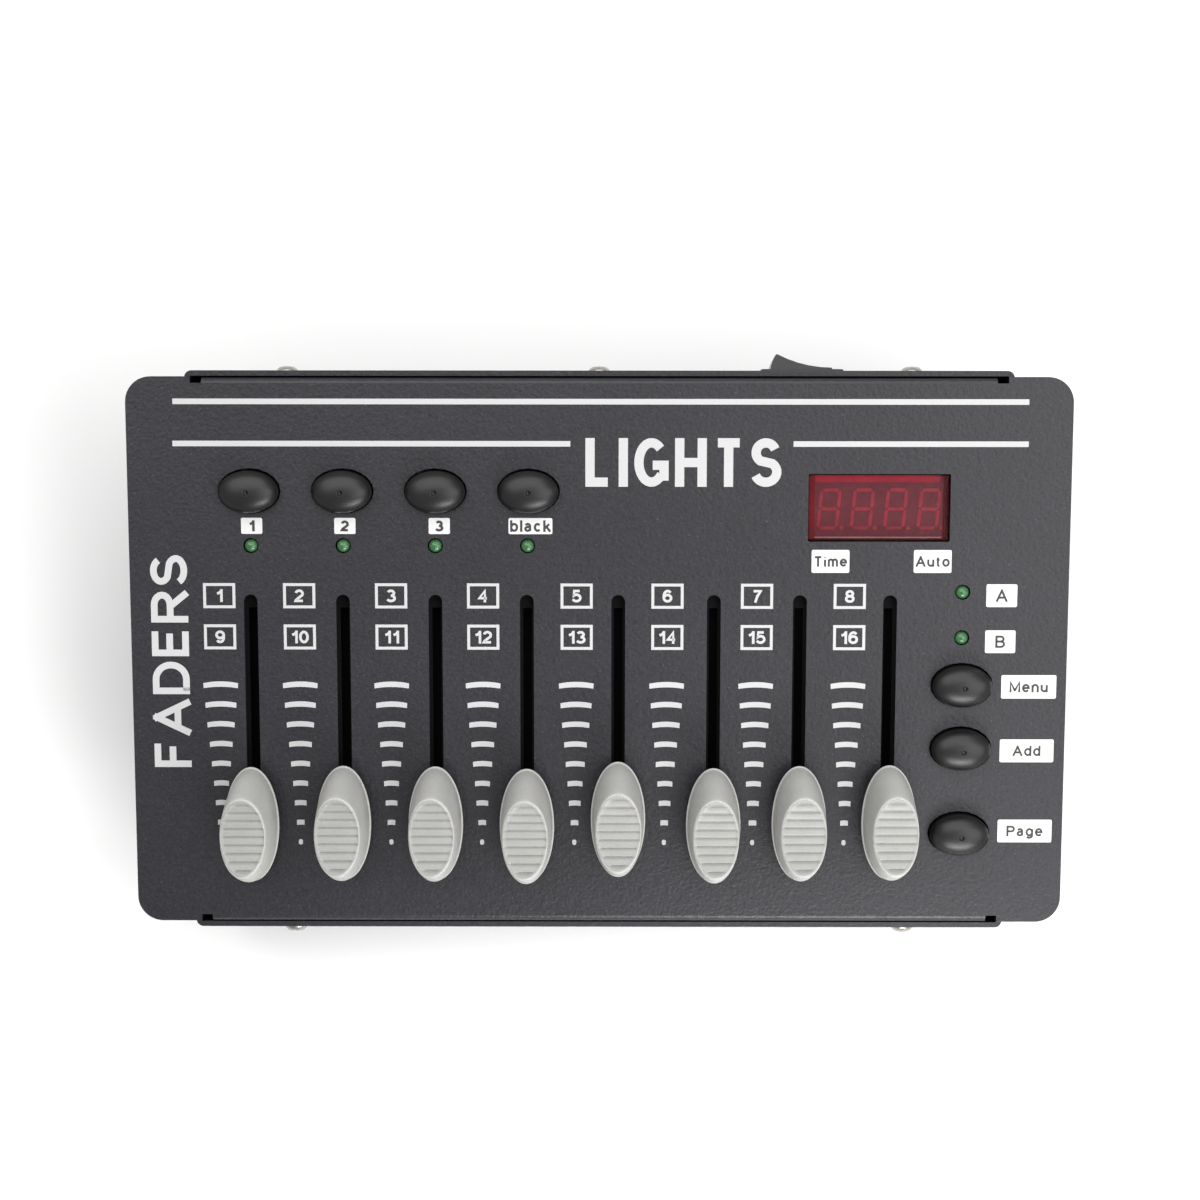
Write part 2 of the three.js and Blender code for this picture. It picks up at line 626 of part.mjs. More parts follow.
// Components on the board's underside: [width, depth, height, x, y].
const CHIPS = {
  microcontroller: [52, 14, 4, -30, 20],
  memory: [10, 6.5, 3.5, 18, 20],
  line_driver: [10, 6.5, 3.5, 36, 20],
  regulator: [10, 15, 4.5, 62, 8],
  crystal: [11, 4.5, 3.5, -30, 6],
};
const CAPACITORS = [
  [44, 4],
  [44, -10],
];
const CAPACITOR_RADIUS = 4;
const CAPACITOR_HEIGHT = 9;

function controlBoard() {
  const depth = BOARD_REAR_Y - BOARD_FRONT_Y;
  const middleY = (BOARD_REAR_Y + BOARD_FRONT_Y) / 2;
  const bottom = BOARD_TOP - BOARD_THICK;
  const plate = box(BOARD_WIDTH, depth, BOARD_THICK, 0, middleY, BOARD_TOP - BOARD_THICK / 2);
  const sink = BOARD_THICK / 2; // how deep the soldered parts are let into the board
  const caseTall = SWITCH_TOP - BOARD_TOP + sink;
  const switches = buttons.map(({ x, y }) =>
    box(SWITCH_SIDE, SWITCH_SIDE, caseTall, x, y, SWITCH_TOP - caseTall / 2),
  );
  const wellSide = BUTTON_POST + 2 * FIT_GAP;
  const wellDepth = SWITCH_TOP + BUTTON_POST_DROP + BUTTON_TRAVEL + FIT_GAP;
  const wells = buttons.map(({ x, y }) => box(wellSide, wellSide, 2 * wellDepth, x, y, SWITCH_TOP));
  const chips = Object.values(CHIPS).map(([w, d, h, x, y]) =>
    box(w, d, h + sink, x, y, bottom + sink - (h + sink) / 2),
  );
  const cans = CAPACITORS.map(([x, y]) =>
    prism(disc(CAPACITOR_RADIUS, x, y), bottom - CAPACITOR_HEIGHT, bottom + sink, 6),
  );
  return cut(join(plate, ...switches, ...chips, ...cans), ...wells);
}

place(deck, "control_board", controlBoard(), BOARD_GREEN);

standoffs.forEach(({ name, x, y }) => {
  const [low, high] = [BOARD_TOP + FIT_GAP, -SHEET - FIT_GAP];
  const pillar = new THREE.CylinderGeometry(STANDOFF_RADIUS, STANDOFF_RADIUS, high - low, 6);
  pillar.rotateX(Math.PI / 2).translate(0, 0, (low + high) / 2);
  place(deck, name, cut(pillar, prism(disc(STANDOFF_BORE), low - 1, high + 1, 4)), STEEL, x, y, 0);
});

// ---------------------------------------------------------------- power switch

// Everything on the rear wall is drawn with y = 0 at the wall's outer face.

function switchBody() {
  const face = SEAT_GAP + BEZEL_THICK;
  const back = -SHEET - SWITCH_BODY_REACH;
  const bezel = roundedRect(BEZEL_LENGTH, BEZEL_WIDTH, BEZEL_CORNER);
  const front = face / 2; // the body runs on into the bezel
  const body = box(SWITCH_BODY_LENGTH, front - back, SWITCH_BODY_WIDTH, 0, (front + back) / 2, 0);
  const [bladeX, bladeY, bladeZ] = TERMINAL;
  const terminals = [-1, 1].map((side) =>
    box(bladeX, bladeY, bladeZ, side * TERMINAL_SPREAD, back - bladeY / 2 + 1, 0),
  );
  const swing = Math.hypot(ROCKER_HALF_LENGTH, ROCKER_END_RISE) + FIT_GAP;
  const well = box(2 * swing, 2 * SWITCH_WELL, ROCKER_WIDTH + 2 * FIT_GAP, 0, face, 0);
  return cut(join(throughWall(bezel, SEAT_GAP, face, 3), body, ...terminals), well);
}

// The rocker about its own pivot, level: round ends and a hollow top that meets them at the corners.
function rocker() {
  const [half, rise, keel] = [ROCKER_HALF_LENGTH, ROCKER_END_RISE, ROCKER_KEEL];
  const corner = Math.atan2(rise, half);
  const radius = Math.hypot(half, rise);
  const shape = new THREE.Shape();
  shape.absarc(0, 0, radius, -corner / 2, corner);
  shape.quadraticCurveTo(0, rise - half * Math.tan(ROCKER_TILT), -half, rise);
  shape.absarc(0, 0, radius, Math.PI - corner, Math.PI + corner / 2);
  shape.lineTo(-half / 2, -keel);
  shape.lineTo(half / 2, -keel);
  return prism(shape, -ROCKER_WIDTH / 2, ROCKER_WIDTH / 2, 5).rotateZ(-ROCKER_TILT);
}

place(desk, "switch_body", switchBody(), BLACK_PLASTIC, ROCKER_X, WALL_OUT_Y, ROCKER_Z);
place(desk, "switch_rocker", rocker(), BLACK_PLASTIC, ROCKER_X, WALL_OUT_Y + PIVOT_OUT, ROCKER_Z);

// ---------------------------------------------------------------- power jack

function powerJack() {
  const face = SEAT_GAP + JACK_FACE_THICK;
  const shell = join(
    throughWall(disc(JACK_FACE_RADIUS), SEAT_GAP, face, 10),
    throughWall(disc(JACK_BARREL_RADIUS), -JACK_REACH, SEAT_GAP + JACK_FACE_THICK / 2, 8),
  );
  const bored = cut(shell, throughWall(disc(JACK_BORE_RADIUS), face - JACK_BORE_DEPTH, face + 1, 8));
  const pinTip = face - 1;
  return join(bored, throughWall(disc(JACK_PIN_RADIUS), face - JACK_BORE_DEPTH - 1, pinTip, 4));
}

function jackNut() {
  const outer = -SHEET - SEAT_GAP;
  const hexagon = disc(NUT_RADIUS);
  const blank = throughWall(hexagon, outer - NUT_THICK, outer, 3);
  const bore = throughWall(disc(JACK_BARREL_RADIUS + FIT_GAP), outer - 2 * NUT_THICK, 0, 8);
  return cut(blank, bore);
}

place(desk, "power_jack", powerJack(), BLACK_PLASTIC, JACK_X, WALL_OUT_Y, JACK_Z);
place(desk, "power_jack_nut", jackNut(), STEEL, JACK_X, WALL_OUT_Y, JACK_Z);

// ---------------------------------------------------------------- output socket

// The flange bears on the wall from inside, on two pegs whose ends are spread over the wall outside.
function outputSocket() {
  const flangeFace = -SHEET - FIT_GAP;
  const flange = roundedRect(SOCKET_FLANGE_WIDTH, SOCKET_FLANGE_HEIGHT, 2);
  const shell = cut(
    join(
      throughWall(flange, flangeFace - SOCKET_FLANGE_THICK, flangeFace, 2),
      throughWall(disc(SOCKET_BARREL_RADIUS), -SOCKET_REACH, 0, 14),
    ),
    throughWall(disc(SOCKET_RING_BORE), -SOCKET_DEPTH, 1, 14),
  );
  const core = throughWall(disc(SOCKET_CORE_RADIUS), -SOCKET_DEPTH - 1, -FIT_GAP, 10);
  const pegHead = [
    [0, -SHEET - 2 * FIT_GAP],
    [PEG_RADIUS, -SHEET - 2 * FIT_GAP],
    [PEG_RADIUS, SEAT_GAP],
    [PEG_HEAD_RADIUS, SEAT_GAP],
    [PEG_HEAD_RADIUS * 0.8, PEG_HEAD_RISE * 0.7],
    [0, PEG_HEAD_RISE],
  ];
  const pegs = pegPlaces.map(([x, z]) => turned(pegHead, 10).rotateX(-Math.PI / 2).translate(x, 0, z));
  const pinHoles = SOCKET_PIN_ANGLES.map(THREE.MathUtils.degToRad).map((angle) => {
    const [x, z] = [SOCKET_PIN_CIRCLE * Math.cos(angle), SOCKET_PIN_CIRCLE * Math.sin(angle)];
    return throughWall(disc(SOCKET_PIN_RADIUS, x, z), -SOCKET_DEPTH + 1, 1, 4);
  });
  return cut(join(shell, core, ...pegs), ...pinHoles);
}

place(desk, "output_socket", outputSocket(), BLACK_PLASTIC, SOCKET_X, WALL_OUT_Y, SOCKET_Z);

const group = new THREE.Group();
group.add(desk);
export default group;
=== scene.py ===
"""Looks of the lighting control desk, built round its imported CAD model.

Sizes are millimetres unless they say otherwise.
"""

import json
import math

import bmesh
import bpy
from mathutils import Matrix, Vector


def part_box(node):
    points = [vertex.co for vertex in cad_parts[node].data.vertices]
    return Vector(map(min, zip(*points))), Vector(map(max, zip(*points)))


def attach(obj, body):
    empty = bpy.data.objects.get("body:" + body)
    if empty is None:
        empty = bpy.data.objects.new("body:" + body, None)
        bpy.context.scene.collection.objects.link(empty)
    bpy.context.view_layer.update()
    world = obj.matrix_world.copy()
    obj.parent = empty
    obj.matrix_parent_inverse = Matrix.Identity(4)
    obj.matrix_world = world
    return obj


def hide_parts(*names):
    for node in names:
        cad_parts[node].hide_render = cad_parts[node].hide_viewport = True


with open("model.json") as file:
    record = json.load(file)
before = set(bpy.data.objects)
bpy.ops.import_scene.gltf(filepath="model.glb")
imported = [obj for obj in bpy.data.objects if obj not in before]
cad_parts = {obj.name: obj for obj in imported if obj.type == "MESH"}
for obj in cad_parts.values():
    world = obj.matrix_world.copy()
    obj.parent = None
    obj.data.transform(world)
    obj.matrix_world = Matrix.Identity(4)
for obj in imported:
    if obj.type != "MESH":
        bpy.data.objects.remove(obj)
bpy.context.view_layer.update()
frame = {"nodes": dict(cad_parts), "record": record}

MM = 0.001

# -------- the deck frame, read from the CAD

JOINTS = {joint["name"]: joint for joint in frame["record"]["behaviour"]["joints"]}
SLOPE = math.asin(JOINTS["fader_slide_1"]["axis"][2])
PANEL_DEPTH = 120.0  # along the slope


def deck_matrix():
    low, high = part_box("top_panel")
    half = PANEL_DEPTH / 2 * MM
    middle = Vector((0, low.y + half * math.cos(SLOPE), high.z - half * math.sin(SLOPE)))
    return Matrix.Translation(middle) @ Matrix.Rotation(SLOPE, 4, "X")


DECK = deck_matrix()
TO_DECK = DECK.inverted()


def nodes_with(start):
    """The names of the CAD nodes that start with a word."""
    return [node for node in frame["nodes"] if node.startswith(start)]


def middle_of(node):
    """The middle of a CAD node's box."""
    low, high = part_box(node)
    return (low + high) / 2


def on_deck(node):
    """A CAD node's middle in the deck frame, in millimetres."""
    return TO_DECK @ middle_of(node) / MM


def deck_spot(x, y, z=0.0):
    """The placement of a piece at a point of the deck frame."""
    return DECK @ Matrix.Translation(Vector((x, y, z)) * MM)


# -------- meshes

SMOOTH_ANGLE = 35  # edges that turn by more than this many degrees are shaded sharp
REFINED_SMOOTH_ANGLE = 40
FLAT_ANGLE = 0.6  # degrees: faces that turn by less are joined before an edge is rounded
MERGE_DISTANCE = 1e-6  # metres
AXIS_RADIUS = 0.02  # a turned profile stops this far from its axis, where loft closes it


def linked(name, data):
    """A new object in the scene."""
    thing = bpy.data.objects.new(name, data)
    bpy.context.scene.collection.objects.link(thing)
    return thing


def piece(name, mesh, body, material, replaces=(), matrix=None):
    """A named object that rides on a body and takes its finish from a slot."""
    thing = linked(name, mesh)
    if matrix is not None:
        thing.matrix_world = matrix
    mesh.materials.clear()
    mesh.materials.append(material)
    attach(thing, body)
    if replaces:
        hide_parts(*replaces)
    return thing


def shade(mesh, smooth_angle):
    """Shade a mesh smooth except where it turns by more than an angle."""
    mesh.polygons.foreach_set("use_smooth", [True] * len(mesh.polygons))
    mesh.set_sharp_from_angle(angle=math.radians(smooth_angle))
    return mesh


def mesh_of(bm, name, smooth_angle=SMOOTH_ANGLE):
    """A shaded mesh from a bmesh, with its normals facing out."""
    bmesh.ops.recalc_face_normals(bm, faces=bm.faces)
    mesh = bpy.data.meshes.new(name)
    bm.to_mesh(mesh)
    bm.free()
    return shade(mesh, smooth_angle)


def bridge(bm, lower, upper):
    """A band of faces between two loops of vertices."""
    count = len(lower)
    for i in range(count):
        j = (i + 1) % count
        bm.faces.new((lower[i], lower[j], upper[j], upper[i]))


def skin(bm, rings):
    """Bands of faces through rings of points, all with the same count, as loops of vertices."""
    loops = [[bm.verts.new(Vector(p) * MM) for p in ring] for ring in rings]
    for lower, upper in zip(loops, loops[1:]):
        bridge(bm, lower, upper)
    return loops


def fan(bm, loop, hub):
    """Triangles from each edge of a loop to one vertex."""
    for v, after in zip(loop, loop[1:] + loop[:1]):
        bm.faces.new((v, after, hub))


def loft(name, rings, smooth_angle=SMOOTH_ANGLE):
    """A skin through rings of points, closed at a middle point at each end."""
    bm = bmesh.new()
    loops = skin(bm, rings)
    for loop in (loops[0], loops[-1]):
        fan(bm, loop, bm.verts.new(sum((v.co for v in loop), Vector()) / len(loop)))
    return mesh_of(bm, name, smooth_angle)


def oval(half_width, half_length, z, count):
    turns = [2 * math.pi * i / count for i in range(count)]
    return [(half_width * math.cos(a), half_length * math.sin(a), z) for a in turns]


def turned(name, profile, count=64, smooth_angle=SMOOTH_ANGLE):
    """A profile of (radius, height) from axis to axis, turned about Z."""
    return loft(name, [oval(radius, radius, z, count) for radius, z in profile], smooth_angle)


def rounded(points, radius, steps=4):
    """A polyline in a plane with its inner corners rounded."""
    out = [points[0]]
    for before, corner, after in zip(points, points[1:], points[2:]):
        before, corner, after = Vector(before), Vector(corner), Vector(after)
        back, ahead = before - corner, after - corner
        reach = min(radius, back.length * 0.45, ahead.length * 0.45)
        start = corner + back.normalized() * reach
        end = corner + ahead.normalized() * reach
        for i in range(steps + 1):
            t = i / steps
            p = start * (1 - t) ** 2 + corner * 2 * t * (1 - t) + end * t**2
            out.append(tuple(p))
    out.append(points[-1])
    return out


def refined(node, bevel, material, angle=30, segments=3, body="case"):
    """The CAD node's own shape, with the edges that turn by more than an angle rounded."""
    bm = bmesh.new()
    bm.from_mesh(frame["nodes"][node].data)
    bmesh.ops.remove_doubles(bm, verts=bm.verts, dist=MERGE_DISTANCE)
    bmesh.ops.dissolve_limit(
        bm, angle_limit=math.radians(FLAT_ANGLE), verts=bm.verts, edges=bm.edges, delimit={"NORMAL"}
    )
    sharp = [e for e in bm.edges if e.is_manifold and e.calc_face_angle(0) > math.radians(angle)]
    bmesh.ops.bevel(
        bm, geom=sharp, offset=bevel * MM, segments=segments, profile=0.5, affect="EDGES", clamp_overlap=True
    )
    mesh = mesh_of(bm, f"{node}_fine", REFINED_SMOOTH_ANGLE)
    thing = piece(f"{node}_fine", mesh, body, material, replaces=[node])
    thing.modifiers.new("even_faces", "WEIGHTED_NORMAL").keep_sharp = True
    return thing


def cut_from(mesh, cutters):
    """The mesh with each cutter mesh taken out of it."""
    blank = linked("cutting_blank", mesh)
    tools = []
    for i, cutter in enumerate(cutters):
        tool = linked(f"cutting_tool_{i}", cutter)
        step = blank.modifiers.new(f"cut_{i}", "BOOLEAN")
        step.operation = "DIFFERENCE"
        step.solver = "EXACT"
        step.object = tool
        tools.append(tool)
    bpy.context.view_layer.update()
    result = bpy.data.meshes.new_from_object(
        blank.evaluated_get(bpy.context.evaluated_depsgraph_get())
    )
    for thing in (blank, *tools):
        bpy.data.objects.remove(thing)
    return shade(result, SMOOTH_ANGLE)


def block(name, low, high):
    """A box between two corners."""
    bm = bmesh.new()
    low, high = Vector(low), Vector(high)
    bmesh.ops.create_cube(bm, size=1.0)
    for v in bm.verts:
        v.co = Vector([(low[i] + high[i]) / 2 + v.co[i] * (high[i] - low[i]) for i in range(3)]) * MM
    return mesh_of(bm, name)


# -------- materials


class Shader:
    """A Principled material and short ways to wire procedural detail into it."""

    def __init__(self, name, color, roughness, metallic=0.0, **fixed):
        self.material = bpy.data.materials.new(name)
        self.material.use_nodes = True
        self.tree = self.material.node_tree
        self.shader = self.tree.nodes["Principled BSDF"]
        self.shader.inputs["Base Color"].default_value = (*color, 1)
        self.shader.inputs["Roughness"].default_value = roughness
        self.shader.inputs["Metallic"].default_value = metallic
        for key, value in fixed.items():
            self.shader.inputs[key.replace("_", " ")].default_value = value
        self.coords = self.tree.nodes.new("ShaderNodeTexCoord")
        self.last_normal = None

    def node(self, kind, **settings):
        made = self.tree.nodes.new(kind)
        for key, value in settings.items():
            setattr(made, key, value)
        return made

    def link(self, source, target):
        self.tree.links.new(source, target)

    def stretch(self, scale):
        """Object coordinates with each axis scaled."""
        mapping = self.node("ShaderNodeMapping")
        mapping.inputs["Scale"].default_value = scale
        self.link(self.coords.outputs["Object"], mapping.inputs["Vector"])
        return mapping.outputs["Vector"]

    def noise(self, size_mm, detail=2.0, rough=0.5, vector=None, distortion=0.0):
        """Noise whose features are about this size."""
        tex = self.node("ShaderNodeTexNoise")
        tex.inputs["Scale"].default_value = 1 / (size_mm * MM)
        tex.inputs["Detail"].default_value = detail
        tex.inputs["Roughness"].default_value = rough
        tex.inputs["Distortion"].default_value = distortion
        self.link(vector or self.coords.outputs["Object"], tex.inputs["Vector"])
        return tex.outputs["Fac"]

    def cells(self, size_mm):
        """Rounded cells of about this size."""
        tex = self.node("ShaderNodeTexVoronoi", feature="SMOOTH_F1")
        tex.inputs["Scale"].default_value = 1 / (size_mm * MM)
        self.link(self.coords.outputs["Object"], tex.inputs["Vector"])
        return tex.outputs["Distance"]

    def ramp(self, value, *stops):
        """Colours or greys along a value, as (place, colour) pairs."""
        made = self.node("ShaderNodeValToRGB")
        elements = made.color_ramp.elements
        while len(elements) < len(stops):
            elements.new(0.5)
        for element, (place, color) in zip(elements, stops):
            element.position = place
            element.color = (*color, 1) if isinstance(color, tuple) else (color, color, color, 1)
        self.link(value, made.inputs["Fac"])
        return made.outputs["Color"]

    def blend(self, amount, first, second, mode="MIX"):
        """Two colours mixed, each given as a socket or a value."""
        made = self.node("ShaderNodeMix", data_type="RGBA", blend_type=mode)
        for socket, value in ((made.inputs[0], amount), (made.inputs[6], first), (made.inputs[7], second)):
            if isinstance(value, bpy.types.NodeSocket):
                self.link(value, socket)
            elif isinstance(value, tuple):
                socket.default_value = (*value, 1)
            else:
                socket.default_value = value
        return made.outputs[2]

    def span(self, value, low, high):
        """A value from 0 to 1 mapped to a range."""
        made = self.node("ShaderNodeMapRange")
        made.inputs["To Min"].default_value = low
        made.inputs["To Max"].default_value = high
        self.link(value, made.inputs["Value"])
        return made.outputs["Result"]

    def color(self, source):
        self.link(source, self.shader.inputs["Base Color"])

    def roughness(self, source):
        self.link(source, self.shader.inputs["Roughness"])

    def bump(self, height, depth_mm, strength=1.0):
        """Relief of this depth, added to the relief before it."""
        made = self.node("ShaderNodeBump")
        made.inputs["Strength"].default_value = strength
        made.inputs["Distance"].default_value = depth_mm * MM
        self.link(height, made.inputs["Height"])
        if self.last_normal is not None:
            self.link(self.last_normal, made.inputs["Normal"])
        self.last_normal = made.outputs["Normal"]
        self.link(self.last_normal, self.shader.inputs["Normal"])


def powder_coat():
    """Fine black powder coat: a pebbled skin with pale dust specks."""
    m = Shader("powder_coat_black", (0.03, 0.03, 0.034), 0.44, Specular_IOR_Level=0.6)
    cloud = m.ramp(m.noise(38, 3), (0.3, (0.0092, 0.0085, 0.0128)), (0.7, (0.0128, 0.012, 0.0172)))
    grain = m.ramp(m.noise(0.6, 3, 0.6), (0.3, 0.5), (0.7, 1.5))
    tinted = m.blend(1.0, cloud, grain, "MULTIPLY")
    specks = m.ramp(m.noise(0.42, 1, 0.4), (0.72, 0.0), (0.78, 0.2))
    m.color(m.blend(specks, tinted, (0.24, 0.24, 0.25)))
    m.roughness(m.span(m.noise(1.2, 3), 0.34, 0.5))
    m.bump(m.noise(0.75, 2, 0.55), 0.1, 0.9)
    m.bump(m.cells(1.1), 0.05, 0.6)
    return m.material


def knob_plastic():
    """Warm pale grey moulded plastic, with a faint flow mottling and handling marks."""
    m = Shader("knob_plastic_grey", (0.5, 0.495, 0.465), 0.42, Subsurface_Weight=0.06)
    m.shader.inputs["Subsurface Radius"].default_value = (0.002, 0.0018, 0.0015)
    base = m.ramp(m.noise(5, 4), (0.3, (0.425, 0.423, 0.403)), (0.7, (0.47, 0.467, 0.445)))
    fine = m.ramp(m.noise(0.35, 2), (0.3, 0.93), (0.7, 1.04))
    m.color(m.blend(1.0, base, fine, "MULTIPLY"))
    m.roughness(m.span(m.noise(2.2, 4), 0.34, 0.55))
    m.bump(m.noise(0.28, 2), 0.012, 0.5)
    return m.material


def knob_pad(plain):
    """The ribbed top of a knob: the same plastic, darkened as painted shade, since the top catches more
    light than the side.
    """
    worn = plain.copy()
    worn.name = "knob_plastic_painted_shade"
    # Darken the copy's base colour: painted shade on the pad, not wear.
    for made in worn.node_tree.nodes:
        if made.type == "VALTORGB" and made.color_ramp.elements[0].color[0] < 0.6:  # the base colour's
            for element in made.color_ramp.elements:
                element.color = tuple(c * 0.72 for c in element.color[:3]) + (1,)
    return worn


def satin_black(name, color, rough, grain, depth, sheen=0.5):
    """Moulded black plastic with a fine spark-eroded grain, whose size and depth are millimetres."""
    m = Shader(name, (color, color, color), sum(rough) / 2, Specular_IOR_Level=sheen)
    tone = m.ramp(
        m.noise(3.5, 3),
        (0.3, (color * 0.85, color * 0.85, color * 0.87)),
        (0.7, (color * 1.2, color * 1.2, color * 1.22)),
    )
    m.color(tone)
    m.roughness(m.span(m.noise(grain * 1.5, 3), *rough))
    m.bump(m.noise(grain, 2, 0.6), depth, 0.6)
    return m.material


def rubber():
    """Dull black rubber with paler worn patches."""
    m = Shader("foot_rubber", (0.02, 0.02, 0.02), 0.8)
    m.color(m.ramp(m.noise(1.6, 4), (0.3, (0.014, 0.014, 0.014)), (0.75, (0.04, 0.039, 0.037))))
    m.roughness(m.span(m.noise(0.8, 3), 0.7, 0.95))
    m.bump(m.noise(0.3, 3), 0.03, 0.6)
    return m.material


def zinc():
    """Bright zinc plate with turning marks and dull patches."""
    color = (0.44, 0.42, 0.39)
    m = Shader("zinc_plate", color, 0.3, 1.0)
    dull = tuple(c * 0.72 for c in color)
    m.color(m.ramp(m.noise(0.9, 4), (0.35, dull), (0.65, color)))
    m.roughness(m.span(m.noise(0.5, 4), 0.2, 0.48))
    m.bump(m.noise(0.12, 2, 0.5, m.stretch((1, 1, 6))), 0.01, 0.4)
    return m.material


def tin():
    """Tin-plated sheet with rolling marks."""
    m = Shader("tin_plate", (0.55, 0.56, 0.57), 0.38, 1.0)
    m.color(m.ramp(m.noise(2.5, 4), (0.3, (0.42, 0.43, 0.44)), (0.7, (0.6, 0.61, 0.62))))
    m.roughness(m.span(m.noise(1.1, 4), 0.28, 0.5))
    m.bump(m.noise(0.2, 2, 0.5, m.stretch((8, 1, 1))), 0.008, 0.4)
    return m.material


def green_lens():
    """A diffused green light that is off, streaked inside."""
    m = Shader("led_green_lens", (0.03, 0.12, 0.04), 0.25, Coat_Weight=0.3, Coat_Roughness=0.12)
    streaks = m.noise(0.5, 3, 0.6, m.stretch((1, 2.2, 1)), 0.6)
    m.color(
        m.ramp(
            streaks,
            (0.25, (0.008, 0.045, 0.013)),
            (0.5, (0.035, 0.135, 0.045)),
            (0.78, (0.11, 0.27, 0.12)),
        )
    )
    m.roughness(m.span(m.noise(0.4, 2), 0.15, 0.35))
    m.bump(m.noise(0.3, 2), 0.02, 0.4)
    return m.material


def red_window():
    """Tinted clear acrylic: half see-through, half a red haze with fine surface wear."""
    m = Shader("window_red_acrylic", (0.1, 0.008, 0.012), 0.06, Specular_IOR_Level=0.06)
    m.color(m.ramp(m.noise(6, 3), (0.3, (0.085, 0.007, 0.01)), (0.7, (0.115, 0.009, 0.014))))
    m.roughness(m.span(m.noise(1.4, 5, 0.6), 0.04, 0.16))
    m.bump(m.noise(9, 2), 0.02, 0.3)
    m.shader.inputs["Alpha"].default_value = 0.26
    return m.material


def red_resin(name, dark, light):
    """A surface behind the red window, in the colour that the window leaves it; the window's edge strips use
    it for painted light and shade.
    """
    m = Shader(name, light, 0.3)
    m.color(m.ramp(m.noise(1.5, 3), (0.3, dark), (0.7, light)))
    m.roughness(m.span(m.noise(0.7, 3), 0.25, 0.45))
    m.bump(m.noise(0.5, 2), 0.01, 0.3)
    return m.material


def ink(name, color, darker):
    """Screen-printed ink: slightly uneven cover over the paint's grain."""
    m = Shader(name, color, 0.45)
    m.color(m.ramp(m.noise(0.35, 3, 0.6), (0.22, darker), (0.42, color)))
    m.roughness(m.span(m.noise(0.7, 3), 0.38, 0.58))
    m.bump(m.noise(0.5, 2), 0.03, 0.4)
    return m.material


def board_mask():
    """Green solder mask with darker tracks under it."""
    m = Shader("board_solder_mask", (0.02, 0.13, 0.05), 0.35, Coat_Weight=0.3)
    tracks = m.node("ShaderNodeTexBrick")
    tracks.inputs["Scale"].default_value = 120
    tracks.inputs["Mortar Size"].default_value = 0.03
    tracks.inputs["Color1"].default_value = (0.016, 0.1, 0.04, 1)
    tracks.inputs["Color2"].default_value = (0.022, 0.13, 0.05, 1)
    tracks.inputs["Mortar"].default_value = (0.045, 0.2, 0.08, 1)
    m.link(m.coords.outputs["Object"], tracks.inputs["Vector"])
    m.color(m.blend(0.35, tracks.outputs["Color"], m.ramp(m.noise(6, 3), (0.3, 0.02), (0.7, 0.09))))
    m.roughness(m.span(m.noise(3, 3), 0.25, 0.45))
    m.bump(m.noise(1.5, 2), 0.02, 0.3)
    return m.material


PAINT = powder_coat()
KNOB = knob_plastic()
KNOB_PAD_SHADE = knob_pad(KNOB)
BUTTON = satin_black("button_satin_black", 0.006, (0.32, 0.44), 0.2, 0.03)
MOULDED = satin_black("moulded_black", 0.018, (0.36, 0.52), 0.3, 0.03)
# Near-black dull plastic for the dust cover on each fader, also used as painted shade inside the fader cans.
COVER_AND_PAINTED_SHADE = satin_black("fader_cover_and_painted_shade", 0.003, (0.6, 0.8), 0.4, 0.05, 0.12)
GLOSSY = satin_black("rocker_gloss_black", 0.016, (0.18, 0.3), 0.5, 0.01)
RUBBER = rubber()
ZINC = zinc()
TIN = tin()
GREEN = green_lens()
WINDOW = red_window()
WHITE_INK = ink("ink_white", (0.53, 0.53, 0.53), (0.43, 0.43, 0.43))
LABEL_INK = ink("ink_label_white", (0.7, 0.7, 0.69), (0.6, 0.6, 0.59))
BLACK_INK = ink("ink_label_black", (0.035, 0.035, 0.037), (0.07, 0.07, 0.07))
BOARD = board_mask()

# -------- case

refined("top_panel", 0.28, PAINT)
refined("base_tray", 0.28, PAINT)

SCREW_HEAD_RADIUS = 2.5
SCREW_HEAD_HEIGHT = 2.0
SHANK_LENGTH = 5.2
THREAD_TURNS = 11
THREAD_START = -5
THREAD_PITCH = 0.45
THREAD_ROOT, THREAD_CREST = 1.22, 1.45
CREST_RISE = 0.22  # a crest's height over the root below it
CROSS_ARM = (1.45, 0.3)  # half length and half width of each arm of the recess
CROSS_FLOOR = 0.95
SCREW_SPINS = {"left": 0.35, "middle": 1.1, "right": -0.2}  # radians
REAR_SPIN = 0.5  # more on the rear wall


def screw_mesh():
    """A pan head with a crossed recess, on a threaded shank, its head upwards."""
    radius, height = SCREW_HEAD_RADIUS, SCREW_HEAD_HEIGHT
    head = rounded([(radius, 0.0), (radius, 0.9), (1.75, 1.75), (0.0, height)], 0.7, 5)[:-1]
    thread = []
    for i in range(THREAD_TURNS):
        z = THREAD_START + i * THREAD_PITCH
        thread += [(THREAD_ROOT, z), (THREAD_CREST, z + CREST_RISE)]
    shoulder = [(1.3, -0.05), (2.4, 0.0)]
    profile = [(AXIS_RADIUS, -SHANK_LENGTH), *thread, *shoulder, *head, (AXIS_RADIUS, height)]
    blank = turned("screw_blank", profile, smooth_angle=30)
    long, narrow = CROSS_ARM
    floor, above = CROSS_FLOOR, height + 1
    arm = block("cross_a", (-long, -narrow, floor), (long, narrow, above))
    across = block("cross_b", (-narrow, -long, floor), (narrow, long, above))
    return cut_from(blank, [arm, across])


